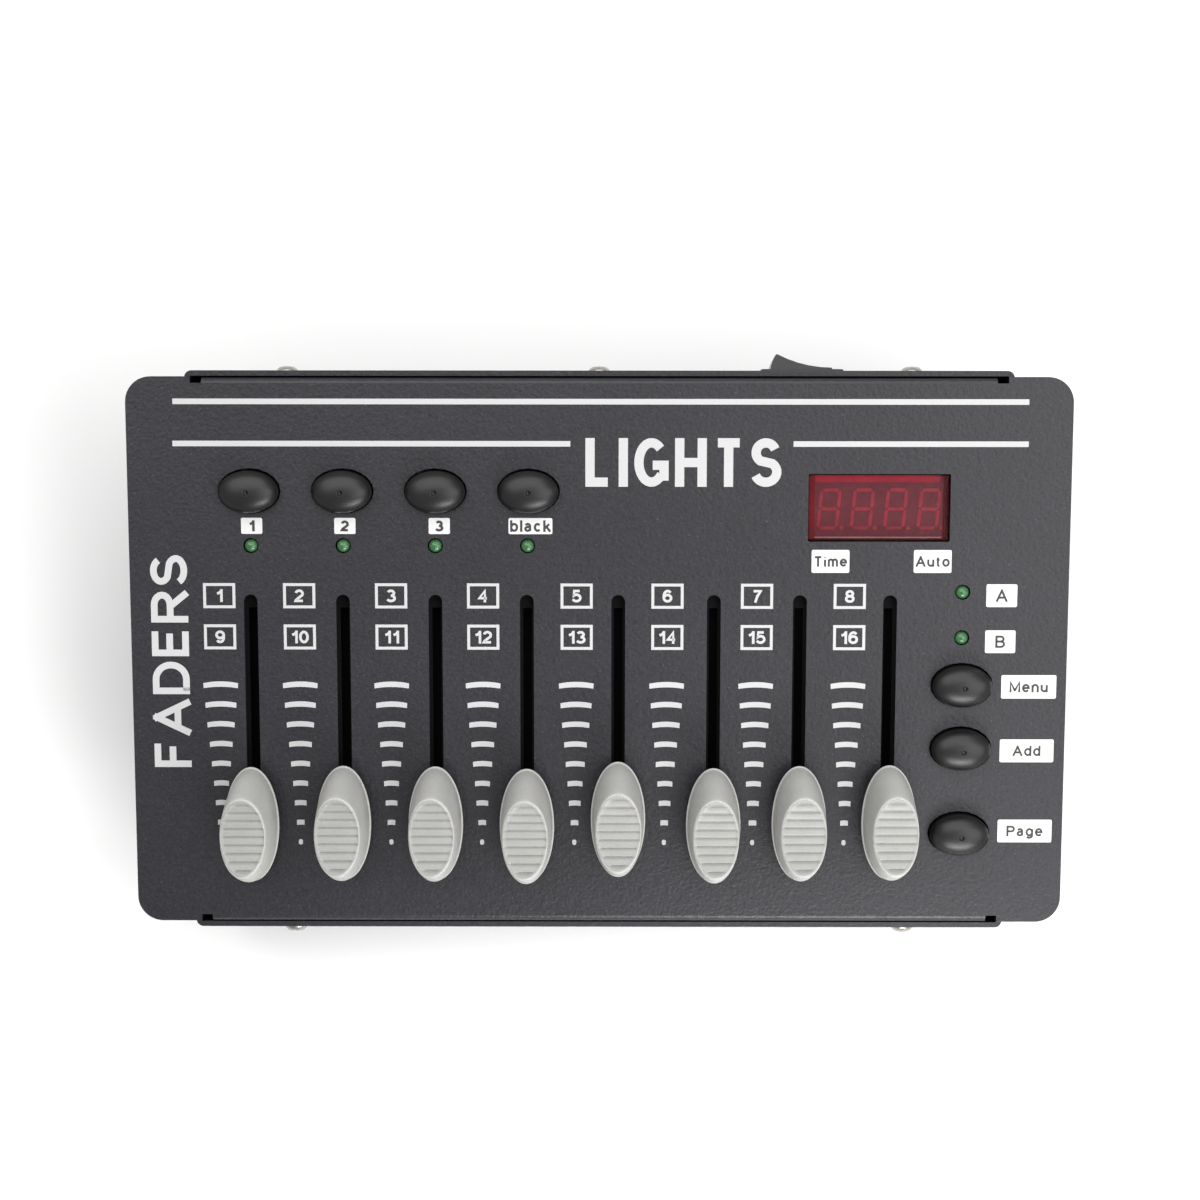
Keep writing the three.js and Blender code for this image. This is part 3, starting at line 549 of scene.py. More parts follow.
def case_screws():
    mesh = screw_mesh()
    for node in nodes_with("case_screw"):
        low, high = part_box(node)
        centre = middle_of(node)
        rear = centre.y > 0
        seat = high.y - SCREW_HEAD_HEIGHT * MM if rear else low.y + SCREW_HEAD_HEIGHT * MM
        spin = SCREW_SPINS[node.split("_")[-1]] + (REAR_SPIN if rear else 0)
        matrix = (
            Matrix.Translation((centre.x, seat, centre.z))
            @ Matrix.Rotation(math.radians(-90 if rear else 90), 4, "X")
            @ Matrix.Rotation(spin, 4, "Z")
        )
        piece(f"{node}_fine", mesh.copy(), "case", ZINC, [node], matrix)


FOOT_TREAD_RADIUS = 5.2
FOOT_TOP_RADIUS = 6.0
FOOT_RECESS = (1.9, 0.6)  # radius and depth of the recess for the fixing


def feet():
    """Turned rubber feet with a rounded tread."""
    hole, deep = FOOT_RECESS
    for node in nodes_with("foot_"):
        low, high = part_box(node)
        centre = middle_of(node)
        height = (high.z - low.z) / MM
        recess = [(AXIS_RADIUS, deep), (hole, deep), (hole, 0.0)]
        tread = [(FOOT_TREAD_RADIUS, 0.0), (FOOT_TOP_RADIUS, height), (AXIS_RADIUS, height)]
        mesh = turned("foot", rounded([*recess, *tread], 0.5))
        place = Matrix.Translation((centre.x, centre.y, low.z))
        piece(f"{node}_fine", mesh, "case", RUBBER, [node], place)


case_screws()
feet()

# -------- faders

KNOB_BASE = (11.9 / 2, 25.4 / 2)  # half width and half length at the knob's rim
KNOB_TOP = (9.4 / 2, 16.9 / 2)  # and where its side would reach its full height
KNOB_HEIGHT = 14.5
KNOB_LIFT = 3.5  # of the knob's rim over the panel
FLANK_INSET = 0.3  # of the side's foot from the rim's outline
FLANK_FOOT = 0.55
FLANK_SHARE = 0.965  # the side stops short of the top, whose edge rounds over to it
# (inset, height) from inside the hollow, round the rim, to the foot of the side
KNOB_FOOT = ((1.3, 1.5), (1.3, 0.05), (1.25, 0.0), (0.1, 0.0))
KNOB_FOOT += ((0.0, 0.1), (0.0, 0.4), (0.06, 0.5), (0.25, FLANK_FOOT))
DISH_RADIUS = 23.0
DISH_DEPTH = 1.7
DISH_REACH = 400  # the square of the distance from the middle where the dish ends
EDGE_FALL = 0.25  # the top's outermost edge falls this far
PAD_DROP = 0.16  # the ribbed pad lies this far under the edge round it
PAD_HALF = (4.7, 8.3)
PAD_FOOT = 9.0
GROOVES = 9
GROOVE_PITCH = 1.78
GROOVE_DEPTH = 0.44
GROOVE_REAR, GROOVE_FRONT = 0.17, 0.3  # how far each side of a groove eases out
GROOVE_ROWS = (-0.9, -0.6, -0.38, -0.2, -0.06, 0.0, 0.06, 0.13, 0.22, 0.36, 0.6)
END_ROWS = (-90, -84, -78, -73, -68, 68, 73, 78, 84, 90)  # degrees round each end
LEAST_ROW = 0.03  # between two rows
BODY_WIDTH = 9.0
BODY_UNDERSIDE = -9.8
BODY_WALL = 0.5
COVER_FOOT = -3.2  # the top of each fader is a dark dust cover down to here


def dish(y):
    return KNOB_HEIGHT - DISH_DEPTH + DISH_RADIUS - math.sqrt(DISH_RADIUS**2 - min(y * y, DISH_REACH))


def smooth_step(value, low, high):
    t = min(max((value - low) / (high - low), 0.0), 1.0)
    return t * t * (3 - 2 * t)


def groove_middle(i):
    return (i - (GROOVES - 1) / 2) * GROOVE_PITCH


def groove(y):
    """Depth of the finger grooves: each falls sharply on its rear side and eases out in front."""
    total = 0.0
    for i in range(GROOVES):
        d = y - groove_middle(i)
        total += math.exp(-((d / (GROOVE_REAR if d > 0 else GROOVE_FRONT)) ** 2))
    return GROOVE_DEPTH * min(total, 1.0)


def flank_size(t):
    """Half width and half length of the knob's side, from its rim at 0 to its top plane at 1."""
    wide = KNOB_BASE[0] - FLANK_INSET + (KNOB_TOP[0] - KNOB_BASE[0] + FLANK_INSET) * t**1.7
    long = KNOB_BASE[1] - FLANK_INSET + (KNOB_TOP[1] - KNOB_BASE[1] + FLANK_INSET) * t**1.6
    return wide, long


def rim_share(y):
    """How far up the side the dished top meets it at this distance from the middle."""
    return min((dish(y) - FLANK_FOOT) / (KNOB_HEIGHT - FLANK_FOOT), 1.0)


def knob_rows():
    """Distances along the knob where its top has a row of points, close together at each groove."""
    end = KNOB_TOP[1]
    for _ in range(20):
        end = flank_size(rim_share(end))[1]
    rows = [end * math.sin(math.radians(a)) for a in END_ROWS]
    for i in range(GROOVES):
        rows += [groove_middle(i) + d for d in GROOVE_ROWS]
    spaced = []
    for y in sorted(rows):
        if abs(y) <= end and (not spaced or y - spaced[-1] > LEAST_ROW):
            spaced.append(y)
    return spaced


def knob_side(around, side_rings):
    """Rings of points from the hollow under the knob, round its rim and up its side."""
    rings = []
    for inset, z in KNOB_FOOT:
        wide, long = KNOB_BASE[0] - inset, KNOB_BASE[1] - inset
        rings.append([(wide * math.cos(a), long * math.sin(a), z) for a, _ in around])
    for k in range(side_rings + 1):
        ring = []
        for a, y in around:
            share = rim_share(y) * (k / side_rings) * FLANK_SHARE
            wide, long = flank_size(share)
            z = FLANK_FOOT + (KNOB_HEIGHT - FLANK_FOOT) * share
            ring.append((wide * math.cos(a), long * math.sin(a), z))
        rings.append(ring)
    return rings


def knob_top(bm, rim, rows, turns, columns):
    """The dished, ribbed top: a grid of points from the rim's left half to its right half."""
    right = rim[: len(rows)]
    left = [right[0], *reversed(rim[len(rows) :]), right[-1]]
    end = rows[-1]
    widest = flank_size(rim_share(0))[0]
    spread = [math.sin((c / (columns - 1) - 0.5) * math.pi) for c in range(columns)]
    grid = []
    for j, y in enumerate(rows[1:-1], 1):
        wide = flank_size(rim_share(y))[0] * math.cos(turns[j])
        line = [left[j]]
        for c in spread[1:-1]:
            x = c * wide
            inward = 1 - math.hypot(x / widest, y / end)
            z = dish(y) - PAD_DROP * smooth_step(inward, 0.04, 0.12)
            z -= groove(y) * smooth_step(inward, 0.06, 0.15)
            z -= EDGE_FALL * (1 - smooth_step(inward, 0.0, 0.05))
            line.append(bm.verts.new(Vector((x, y, z)) * MM))
        grid.append([*line, right[j]])
    for lower, upper in zip(grid, grid[1:]):
        for c in range(columns - 1):
            bm.faces.new((lower[c], lower[c + 1], upper[c + 1], upper[c]))
    for line, pole in ((grid[0], right[0]), (grid[-1], right[-1])):
        for c in range(columns - 1):
            bm.faces.new((line[c], line[c + 1], pole))


def knob_mesh(side_rings=20, columns=22):
    """A tall oval knob, hollow underneath."""
    rows = knob_rows()
    turns = [math.asin(max(-1, min(1, y / flank_size(rim_share(y))[1]))) for y in rows]
    around = list(zip(turns, rows)) + [(math.pi - a, y) for a, y in zip(turns, rows)][-2:0:-1]
    bm = bmesh.new()
    loops = skin(bm, knob_side(around, side_rings))
    fan(bm, loops[0], bm.verts.new(Vector((0, 0, KNOB_FOOT[0][1])) * MM))
    knob_top(bm, loops[-1], rows, turns, columns)
    return mesh_of(bm, "fader_knob", 75)


def knob(i, x, mesh):
    """A fader's knob, with painted shade on its pad."""
    spot = deck_spot(x, on_deck(f"fader_lever_{i}").y, KNOB_LIFT)
    node = f"fader_knob_{i}"
    piece(f"{node}_fine", mesh, f"fader_{i}", KNOB, [node], spot)
    # The pad's faces take the darkened copy, as painted shade.
    mesh.materials.append(KNOB_PAD_SHADE)
    for face in mesh.polygons:
        at = face.center / MM
        inside = math.hypot(at.x / PAD_HALF[0], at.y / PAD_HALF[1]) < 1
        face.material_index = int(at.z > PAD_FOOT and inside)


def fader_body(i, x):
    """A fader's tin can under a dark dust cover, with its inside in the cover's near-black as painted shade.
    """
    can = refined(f"fader_body_{i}", 0.15, TIN).data
    can.materials.append(COVER_AND_PAINTED_SHADE)
    for face in can.polygons:
        at = TO_DECK @ face.center / MM
        between = abs(at.x - x) < BODY_WIDTH / 2 - BODY_WALL
        # Faces inside the can take the near-black cover material as painted shade instead of tin.
        inside = between and at.z > BODY_UNDERSIDE + BODY_WALL
        face.material_index = int(at.z > COVER_FOOT or inside)


def faders():
    mesh = knob_mesh()
    for i in range(1, 9):
        x = middle_of(f"fader_knob_{i}").x / MM
        knob(i, x, mesh.copy())
        refined(f"fader_lever_{i}", 0.12, MOULDED, body=f"fader_{i}")
        fader_body(i, x)


faders()

# -------- push buttons

BUTTONS = {
    "scene_button_1": "scene_1_key",
    "scene_button_2": "scene_2_key",
    "scene_button_3": "scene_3_key",
    "black_button": "black_key",
    "menu_button": "menu_key",
    "add_button": "add_key",
    "page_button": "page_key",
}
BUTTON_HALF = (12.9 / 2, 9.1 / 2)
BUTTON_POST_RADIUS = 1.6
BUTTON_POST_FOOT = -6.4
BUTTON_HOLLOW_TOP = 1.2
# (share of the outline, height) from the hollow, round the foot, to the dome
BUTTON_SKIRT = ((0.77, BUTTON_HOLLOW_TOP), (0.77, -1.9), (0.79, -2.0), (0.985, -2.0), (1, -1.85), (1, 1.6))
DOME_RINGS = 34  # from the dome's foot to its middle, where a dimple takes the place of the last two
DOME_FOOT = 1.7
DOME_HEIGHT = 3.1
BUTTON_TOP = 4.8
DIMPLE = ((0.75, 0.0), (0.62, 0.01), (0.52, 0.08), (0.44, 0.25), (0.3, 0.42), (0.12, 0.46))  # radius, depth


def button_mesh(turns=96):
    """An oval dome with a small dimple, hollow underneath round its post."""
    post = BUTTON_POST_RADIUS
    rings = [oval(post - 0.4, post - 0.4, BUTTON_POST_FOOT, turns)]
    rings += [oval(post, post, z, turns) for z in (BUTTON_POST_FOOT, BUTTON_HOLLOW_TOP)]
    domed = []
    for k in range(1, DOME_RINGS - 1):
        a = k / DOME_RINGS * math.pi / 2
        domed.append((math.cos(a) ** 0.92, DOME_FOOT + DOME_HEIGHT * math.sin(a)))
    for share, z in (*BUTTON_SKIRT, *domed):
        rings.append(oval(BUTTON_HALF[0] * share, BUTTON_HALF[1] * share, z, turns))
    rings += [oval(radius, radius, BUTTON_TOP - 0.005 - depth, turns) for radius, depth in DIMPLE]
    return loft("push_button", rings, 50)


def push_buttons():
    mesh = button_mesh()
    for node, key in BUTTONS.items():
        centre = on_deck(node)
        spot = deck_spot(centre.x, centre.y)
        piece(f"{node}_fine", mesh.copy(), key, BUTTON, [node], spot)


push_buttons()

# -------- indicator lights

LED_RADIUS = 1.5
LED_DOME_FOOT = -1.0
LED_DOME_STEPS = 12
LED_FLANGE = ((1.9, -4.7), (1.95, -4.6), (1.95, -3.8), (1.9, -3.7))  # radius, height
LED_FOOT = -4.7
LEG_HALF = 0.25
LEG_X = 1.27
LEG_SPAN = (-9.8, -4.6)


def led_mesh():
    """A round light with a domed end and a flange round its foot."""
    dome = []
    for k in range(LED_DOME_STEPS + 1):
        a = k / LED_DOME_STEPS * math.pi / 2 * 0.985
        dome.append((LED_RADIUS * math.cos(a), LED_DOME_FOOT + LED_RADIUS * math.sin(a)))
    profile = [(AXIS_RADIUS, LED_FOOT), *LED_FLANGE, (LED_RADIUS, LED_FLANGE[-1][1]), *dome]
    return turned("led", profile, 48, 50)


def indicator_lights():
    """Six green lights, each with its two legs."""
    mesh = led_mesh()
    low, high = LEG_SPAN
    for node in [node for node in frame["nodes"] if "_led" in node]:
        centre = on_deck(node)
        spot = deck_spot(centre.x, centre.y)
        piece(f"{node}_fine", mesh.copy(), "case", GREEN, [node], spot)
        for side, mark in ((-1, "l"), (1, "r")):
            x = side * LEG_X
            leg = block("leg", (x - LEG_HALF, -LEG_HALF, low), (x + LEG_HALF, LEG_HALF, high))
            piece(f"{node}_leg_{mark}", leg, "case", TIN, (), spot)


indicator_lights()

# -------- display

WINDOW_HALF = (30.1 / 2, 14.1 / 2)
WINDOW_TOP = -0.4
WINDOW_FOOT = -2.4
MODULE_TOP = WINDOW_FOOT - 0.3
MODULE_DEPTH = 7.1
DIGITS = 4
DIGIT_PITCH = 7.25
FIRST_DIGIT = (-10.6, -0.4)
DIGIT_SIZE = (4.7, 9.0)
DIGIT_LEAN = 0.09
SEGMENT_WIDTH = 0.72
SEGMENT_GAP = 0.16
POINT_RADIUS = 0.5
POINT_OFFSET = 0.85


def bevelled(mesh, width):
    """A mesh with all its edges rounded."""
    bm = bmesh.new()
    bm.from_mesh(mesh)
    bmesh.ops.bevel(bm, geom=list(bm.edges), offset=width * MM, segments=3, affect="EDGES")
    return mesh_of(bm, mesh.name)


def segment_outlines(x, y):
    """The seven segments and the point of one digit whose middle is at x, y."""
    half_w, half_t = DIGIT_SIZE[0] / 2, DIGIT_SIZE[1] / 2

    def bar(x0, y0, x1, y1):
        run = Vector((x1 - x0, y1 - y0)).normalized()
        side = Vector((-run.y, run.x)) * SEGMENT_WIDTH / 2
        start, end = Vector((x0, y0)) + run * SEGMENT_GAP, Vector((x1, y1)) - run * SEGMENT_GAP
        nose = run * SEGMENT_WIDTH / 2
        outline = [start, start + nose + side, end - nose + side]
        outline += [end, end - nose - side, start + nose - side]
        return [(x + p.x + p.y * DIGIT_LEAN, y + p.y) for p in outline]

    inset_w, inset_t = half_w - SEGMENT_WIDTH / 2, half_t - SEGMENT_WIDTH / 2
    bars = [
        bar(-inset_w, inset_t, inset_w, inset_t),
        bar(-inset_w, 0, inset_w, 0),
        bar(-inset_w, -inset_t, inset_w, -inset_t),
        bar(-inset_w, 0, -inset_w, inset_t),
        bar(inset_w, 0, inset_w, inset_t),
        bar(-inset_w, -inset_t, -inset_w, 0),
        bar(inset_w, -inset_t, inset_w, 0),
    ]
    point = Vector((x + half_w + POINT_OFFSET - half_t * DIGIT_LEAN, y - inset_t))
    turns = [a * math.pi / 8 for a in range(16)]
    dot = [(point.x + POINT_RADIUS * math.cos(a), point.y + POINT_RADIUS * math.sin(a)) for a in turns]
    return [*bars, dot]


def plates(name, outlines, low, high):
    """Flat outlines given a thickness between two heights."""
    bm = bmesh.new()
    for outline in outlines:
        lower = [bm.verts.new(Vector((px, py, low)) * MM) for px, py in outline]
        upper = [bm.verts.new(Vector((px, py, high)) * MM) for px, py in outline]
        bm.faces.new(lower[::-1])
        bm.faces.new(upper)
        bridge(bm, lower, upper)
    return mesh_of(bm, name)


def rectangle(x0, y0, x1, y1):
    return [(x0, y0), (x1, y0), (x1, y1), (x0, y1)]


def display():
    """The red pane, the digit module under it, its segments, and strips of painted light and shade along the
    pane's edges as they show inside.
    """
    centre = on_deck("display_window")
    spot = deck_spot(centre.x, centre.y)
    w, d = WINDOW_HALF
    pane = bevelled(block("display_pane", (-w, -d, WINDOW_FOOT), (w, d, WINDOW_TOP)), 0.15)
    piece("display_window_pane", pane, "case", WINDOW, ["display_window"], spot)
    body = bevelled(block("digit_module", (-w, -d, MODULE_TOP - MODULE_DEPTH), (w, d, MODULE_TOP)), 0.3)
    face = red_resin("module_face", (0.13, 0.042, 0.054), (0.19, 0.058, 0.075))
    piece("digit_display_body", body, "case", face, ["digit_display"], spot)
    segment_red = red_resin("segment_resin", (0.42, 0.045, 0.065), (0.58, 0.07, 0.1))
    first_x, y = FIRST_DIGIT
    shapes = [s for i in range(DIGITS) for s in segment_outlines(first_x + DIGIT_PITCH * i, y)]
    segments = plates("digit_segments", shapes, MODULE_TOP - 0.2, MODULE_TOP + 0.04)
    piece("digit_segments", segments, "case", segment_red, (), spot)
    # Strips under the pane's edges: a lit red band at the rear as painted light, painted shade in dark red
    # at the left and in black at the right, and a painted highlight at the front.
    edges = (
        ("rear", (0.72, 0.035, 0.08), rectangle(-w + 0.2, d - 1.6, w - 1.7, d - 0.1), 0.25),
        ("left", (0.27, 0.001, 0.008), rectangle(-w + 0.05, -d + 0.1, -w + 1.3, d - 0.1), 0.27),
        ("right", (0.004, 0.002, 0.002), rectangle(w - 0.85, -d + 0.3, w - 0.05, d - 0.1), 0.29),
        ("front", (0.75, 0.5, 0.52), rectangle(-w + 1.3, -d + 0.3, w - 1.1, -d + 0.58), 0.28),
    )
    for name, color, outline, rise in edges:
        finish = red_resin(f"window_edge_{name}_finish", tuple(c * 0.8 for c in color), color)
        strip = plates(f"window_edge_{name}", [outline], MODULE_TOP, MODULE_TOP + rise)
        piece(f"window_edge_{name}", strip, "case", finish, (), spot)


display()

# -------- printing on the panel

# Heights in the deck frame: ink starts just under the panel's face
INK_LOW, INK_HIGH = -0.05, 0.035
PLATE_HIGH = 0.05
WORD_LOW, WORD_HIGH = PLATE_HIGH - 0.02, 0.075


def arc(x, y, wide, tall, start, end, steps=14):
    """Points of an oval arc between two angles in degrees."""
    turns = [math.radians(start + (end - start) * k / steps) for k in range(steps + 1)]
    return [(x + wide * math.cos(a), y + tall * math.sin(a)) for a in turns]


# Curves of letters
BOWL = arc(0.5, 0.36, 0.5, 0.36, 0, 360, 22)
B_UPPER = arc(0.58, 0.76, 0.34, 0.24, -90, 90, 9)
B_LOWER = arc(0.58, 0.26, 0.42, 0.26, -90, 90, 9)
R_BOWL = arc(0.58, 0.74, 0.4, 0.26, 90, -90, 10)
A_SHOULDER = arc(0.46, 0.5, 0.4, 0.22, 160, 0, 8)
A_BOWL = arc(0.42, 0.2, 0.42, 0.2, 100, 320, 12)
M_HUMPS = [[(x, 0.42), *arc(x + 0.25, 0.46, 0.25, 0.26, 180, 0, 9), (x + 0.5, 0)] for x in (0, 0.5)]

# The width of each character's box, and its pen strokes in that box as if it were 1 wide and 1 tall
GLYPHS = {
    "0": (0.6, [arc(0.5, 0.5, 0.5, 0.5, 0, 360, 28)]),
    "1": (0.36, [[(1, 0), (1, 1)], [(0.95, 0.97), (0.6, 0.8), (0, 0.7)]]),
    "2": (0.6, [[*arc(0.5, 0.7, 0.47, 0.3, 165, -30), (0.1, 0.12), (0, 0), (1, 0)]]),
    "3": (0.6, [arc(0.47, 0.76, 0.42, 0.24, 155, -90), arc(0.47, 0.26, 0.52, 0.26, 90, -158)]),
    "4": (0.62, [[(0.74, 0), (0.74, 1), (0, 0.28), (1, 0.28)]]),
    "5": (0.6, [[(0.92, 1), (0.17, 1), (0.06, 0.5), *arc(0.47, 0.32, 0.53, 0.32, 125, -158)]]),
    "6": (0.6, [arc(0.5, 0.31, 0.5, 0.31, 0, 360, 24), [*arc(0.52, 0.55, 0.52, 0.45, 40, 180), (0, 0.31)]]),
    "7": (0.58, [[(0, 1), (1, 1), (0.55, 0.5), (0.3, 0)]]),
    "8": (0.6, [arc(0.5, 0.76, 0.42, 0.24, 0, 360, 22), arc(0.5, 0.26, 0.5, 0.26, 0, 360, 24)]),
    "9": (0.6, [arc(0.5, 0.69, 0.5, 0.31, 0, 360, 24), [(1, 0.69), *arc(0.48, 0.45, 0.52, 0.45, 0, -140)]]),
    "A": (0.78, [[(0, 0), (0.5, 1)], [(1, 0), (0.5, 1)], [(0.17, 0.31), (0.83, 0.31)]]),
    "B": (0.64, [[*B_UPPER, (0, 1), (0, 0), *B_LOWER, (0, 0.52)]]),
    "D": (0.7, [[(0, 0), (0, 1), *arc(0.45, 0.5, 0.55, 0.5, 90, -90), (0, 0)]]),
    "E": (0.58, [[(1, 1), (0, 1), (0, 0), (1, 0)], [(0, 0.52), (0.9, 0.52)]]),
    "F": (0.55, [[(0, 0), (0, 1), (1, 1)], [(0, 0.5), (0.86, 0.5)]]),
    "G": (0.74, [[*arc(0.5, 0.5, 0.5, 0.5, 45, 322, 20)], [(0.55, 0.43), (1, 0.43), (1, 0.04)]]),
    "H": (0.66, [[(0, 0), (0, 1)], [(1, 0), (1, 1)], [(0, 0.5), (1, 0.5)]]),
    "I": (0.0, [[(0, 0), (0, 1)]]),
    "L": (0.52, [[(0, 1), (0, 0), (1, 0)]]),
    "M": (0.84, [[(0, 0), (0, 1), (0.47, 0.12), (0.53, 0.12), (1, 1), (1, 0)]]),
    "P": (0.62, [[(0, 0), (0, 1), *arc(0.58, 0.73, 0.42, 0.27, 90, -90, 10), (0, 0.46)]]),
    "R": (0.66, [[(0, 0), (0, 1)], [(0, 1), *R_BOWL, (0, 0.48)], [(0.52, 0.48), (1, 0)]]),
    "S": (0.64, [[*arc(0.49, 0.75, 0.45, 0.25, 20, 235), *arc(0.5, 0.26, 0.5, 0.26, 55, -160)]]),
    "T": (0.64, [[(0, 1), (1, 1)], [(0.5, 1), (0.5, 0)]]),
    "a": (0.5, [[*A_SHOULDER, (0.86, 0.1), (1, 0)], [(0.86, 0.42), *A_BOWL, (0.86, 0.18)]]),
    "b": (0.54, [[(0, 0), (0, 1)], BOWL]),
    "c": (0.5, [arc(0.5, 0.36, 0.5, 0.36, 42, 318)]),
    "d": (0.54, [[(1, 0), (1, 1)], BOWL]),
    "e": (0.54, [[(0.05, 0.37), (1, 0.37), *arc(0.5, 0.36, 0.5, 0.36, 8, 322, 20)]]),
    "g": (0.54, [BOWL, [(1, 0.72), (1, 0), *arc(0.5, -0.04, 0.5, 0.24, 0, -150, 9)]]),
    "i": (0.0, [[(0, 0), (0, 0.7)], [(0, 0.9), (0, 1)]]),
    "k": (0.48, [[(0, 0), (0, 1)], [(0.92, 0.72), (0.02, 0.24)], [(0.36, 0.44), (1, 0)]]),
    "l": (0.0, [[(0, 0), (0, 1)]]),
    "m": (0.82, [[(0, 0), (0, 0.72)], *M_HUMPS]),
    "n": (0.5, [[(0, 0), (0, 0.72)], [(0, 0.4), *arc(0.5, 0.42, 0.5, 0.3, 180, 0, 10), (1, 0)]]),
    "o": (0.54, [BOWL]),
    "t": (0.26, [[(0.35, 0.95), (0.35, 0.14), (0.55, 0.01), (1, 0.01)], [(-0.15, 0.7), (1, 0.7)]]),
    "u": (0.5, [[(0, 0.72), *arc(0.5, 0.3, 0.5, 0.3, 180, 360, 10)], [(1, 0.72), (1, 0)]]),
}
SHARPEST_MITRE = 0.55  # the least cosine of half a corner's turn that a pen stroke follows
BOX_SHARE = 0.86  # the height of a character's box, where GLYPHS gives its width for a letter 1 tall
TEXT_LIFT = 0.002  # strokes that cross lie this far over each other
MOST_LIFT = 0.007
UPRIGHT = 0.3  # a stroke's end reaches the letter's edge where it rises by more than this share of the box


def pen_edges(path, pen):
    """The two edges of a pen stroke along a path, mitred at its corners."""
    path = [Vector(p) for p in path]
    path = [p for i, p in enumerate(path) if i == 0 or (p - path[i - 1]).length > pen * 0.02]
    closed = (path[0] - path[-1]).length < pen * 0.05
    if closed:
        path.pop()
    count = len(path)
    left, right = [], []
    for i, p in enumerate(path):
        into = p - path[i - 1] if closed or i else path[1] - p
        out = path[(i + 1) % count] - p if closed or i < count - 1 else into
        into, out = into.normalized(), out.normalized()
        side = Vector((-into.y - out.y, into.x + out.x))
        side = side.normalized() if side.length > 1e-6 else Vector((-into.y, into.x))
        reach = pen / 2 / max(side.dot(Vector((-into.y, into.x))), SHARPEST_MITRE)
        left.append(p + side * reach)
        right.append(p - side * reach)
    return left, right, closed


class Print:
    """Collects flat shapes and lettering that are printed in one ink."""

    def __init__(self, low, high):
        self.bm = bmesh.new()
        self.low, self.high = low, high

    def outline(self, points):
        """A flat shape with walls down to the panel."""
        lower = [self.bm.verts.new(Vector((x, y, self.low)) * MM) for x, y in points]
        upper = [self.bm.verts.new(Vector((x, y, self.high)) * MM) for x, y in points]
        self.bm.faces.new(upper)
        bridge(self.bm, lower, upper)

    def rect(self, x0, y0, x1, y1, corner=0.0):
        """A rectangle, with round corners where a radius is given."""
        if not corner:
            self.outline(rectangle(x0, y0, x1, y1))
            return
        points = []
        for cx, cy, start in ((x1, y1, 0), (x0, y1, 90), (x0, y0, 180), (x1, y0, 270)):
            mx = cx - corner if cx == x1 else cx + corner
            my = cy - corner if cy == y1 else cy + corner
            for k in range(5):
                a = math.radians(start + 22.5 * k)
                points.append((mx + corner * math.cos(a), my + corner * math.sin(a)))
        self.outline(points)

    def stroke(self, path, pen, lift):
        """A pen stroke along a path, lifted over the ones that it crosses."""
        left, right, closed = pen_edges(path, pen)
        count = len(left)
        rows = []
        for z in (self.low, self.high + lift):
            rows.append([[self.bm.verts.new(Vector((*p, z)) * MM) for p in edge] for edge in (left, right)])
        (low_left, low_right), (top_left, top_right) = rows
        for i in range(count if closed else count - 1):
            j = (i + 1) % count
            self.bm.faces.new((top_left[i], top_right[i], top_right[j], top_left[j]))
            self.bm.faces.new((low_left[i], top_left[i], top_left[j], low_left[j]))
            self.bm.faces.new((low_right[j], top_right[j], top_right[i], low_right[i]))
        if not closed:
            for i in (0, -1):
                self.bm.faces.new((low_left[i], low_right[i], top_right[i], top_left[i]))

    def text(self, text, x, y, height, pen, gap, width=None, turned=False):
        """A line of text about its middle; the pen's and the gap's widths are shares of its height."""
        ink, space = pen * height, gap * height
        widths = [GLYPHS[letter][0] * (height - ink) / BOX_SHARE for letter in text]
        fixed = len(text) * ink + (len(text) - 1) * space
        squeeze = (width - fixed) / sum(widths) if width else 1.0
        cursor = -(sum(widths) * squeeze + fixed) / 2
        lift = 0.0
        for letter, wide in zip(text, widths):
            for path in GLYPHS[letter][1]:
                flat = [
                    (cursor + ink / 2 + u * wide * squeeze, (v - 0.5) * (height - ink)) for u, v in path
                ]
                for tip, inner in ((0, 1), (-1, -2)):
                    if path[tip][1] in (0, 1) and abs(path[tip][1] - path[inner][1]) > UPRIGHT:
                        out = (Vector(flat[tip]) - Vector(flat[inner])).normalized() * ink / 2
                        flat[tip] = (flat[tip][0] + out.x, flat[tip][1] + out.y)
                if turned:
                    flat = [(-v, u) for u, v in flat]
                self.stroke([(x + u, y + v) for u, v in flat], ink, lift)
                lift = (lift + TEXT_LIFT) % MOST_LIFT
            cursor += wide * squeeze + ink + space

    def finish(self, name, material):
        piece(name, mesh_of(self.bm, name, 30), "case", material, (), DECK)


RULES = (  # low and high corners of the long lines
    (-91.8, 54.05, 92.4, 55.25),
    (-92.0, 45.0, -6.2, 46.2),
    (41.9, 45.0, 92.5, 46.2),
)
SCALE_X = (-82.6, -65.2, -45.2, -25.2, -4.85, 14.9, 34.35, 54.5)  # middles of the boxes and scales
BOX_HALF = (3.5, 2.75)
BOX_LINE = 0.62
BOX_ROWS = (12.55, 3.5)
TICK_WIDTHS = (7.6, 6.8, 6.0, 5.0, 4.2, 3.3, 2.6, 1.7)
TICK_THICK = 1.12
TICK_RISE = 0.4  # of the widest tick's middle over its ends
TICK_TOP_Y = -7.28
TICK_STEP = 4.36
TICK_SHIFT = -0.1
TICK_LEAN = 0.013  # how far each scale drifts to the left on its way down
DOT_HALF = (0.45, 0.6)  # the dot under each scale
DOT_CORNER = 0.4
PLATE_CORNER = 0.35
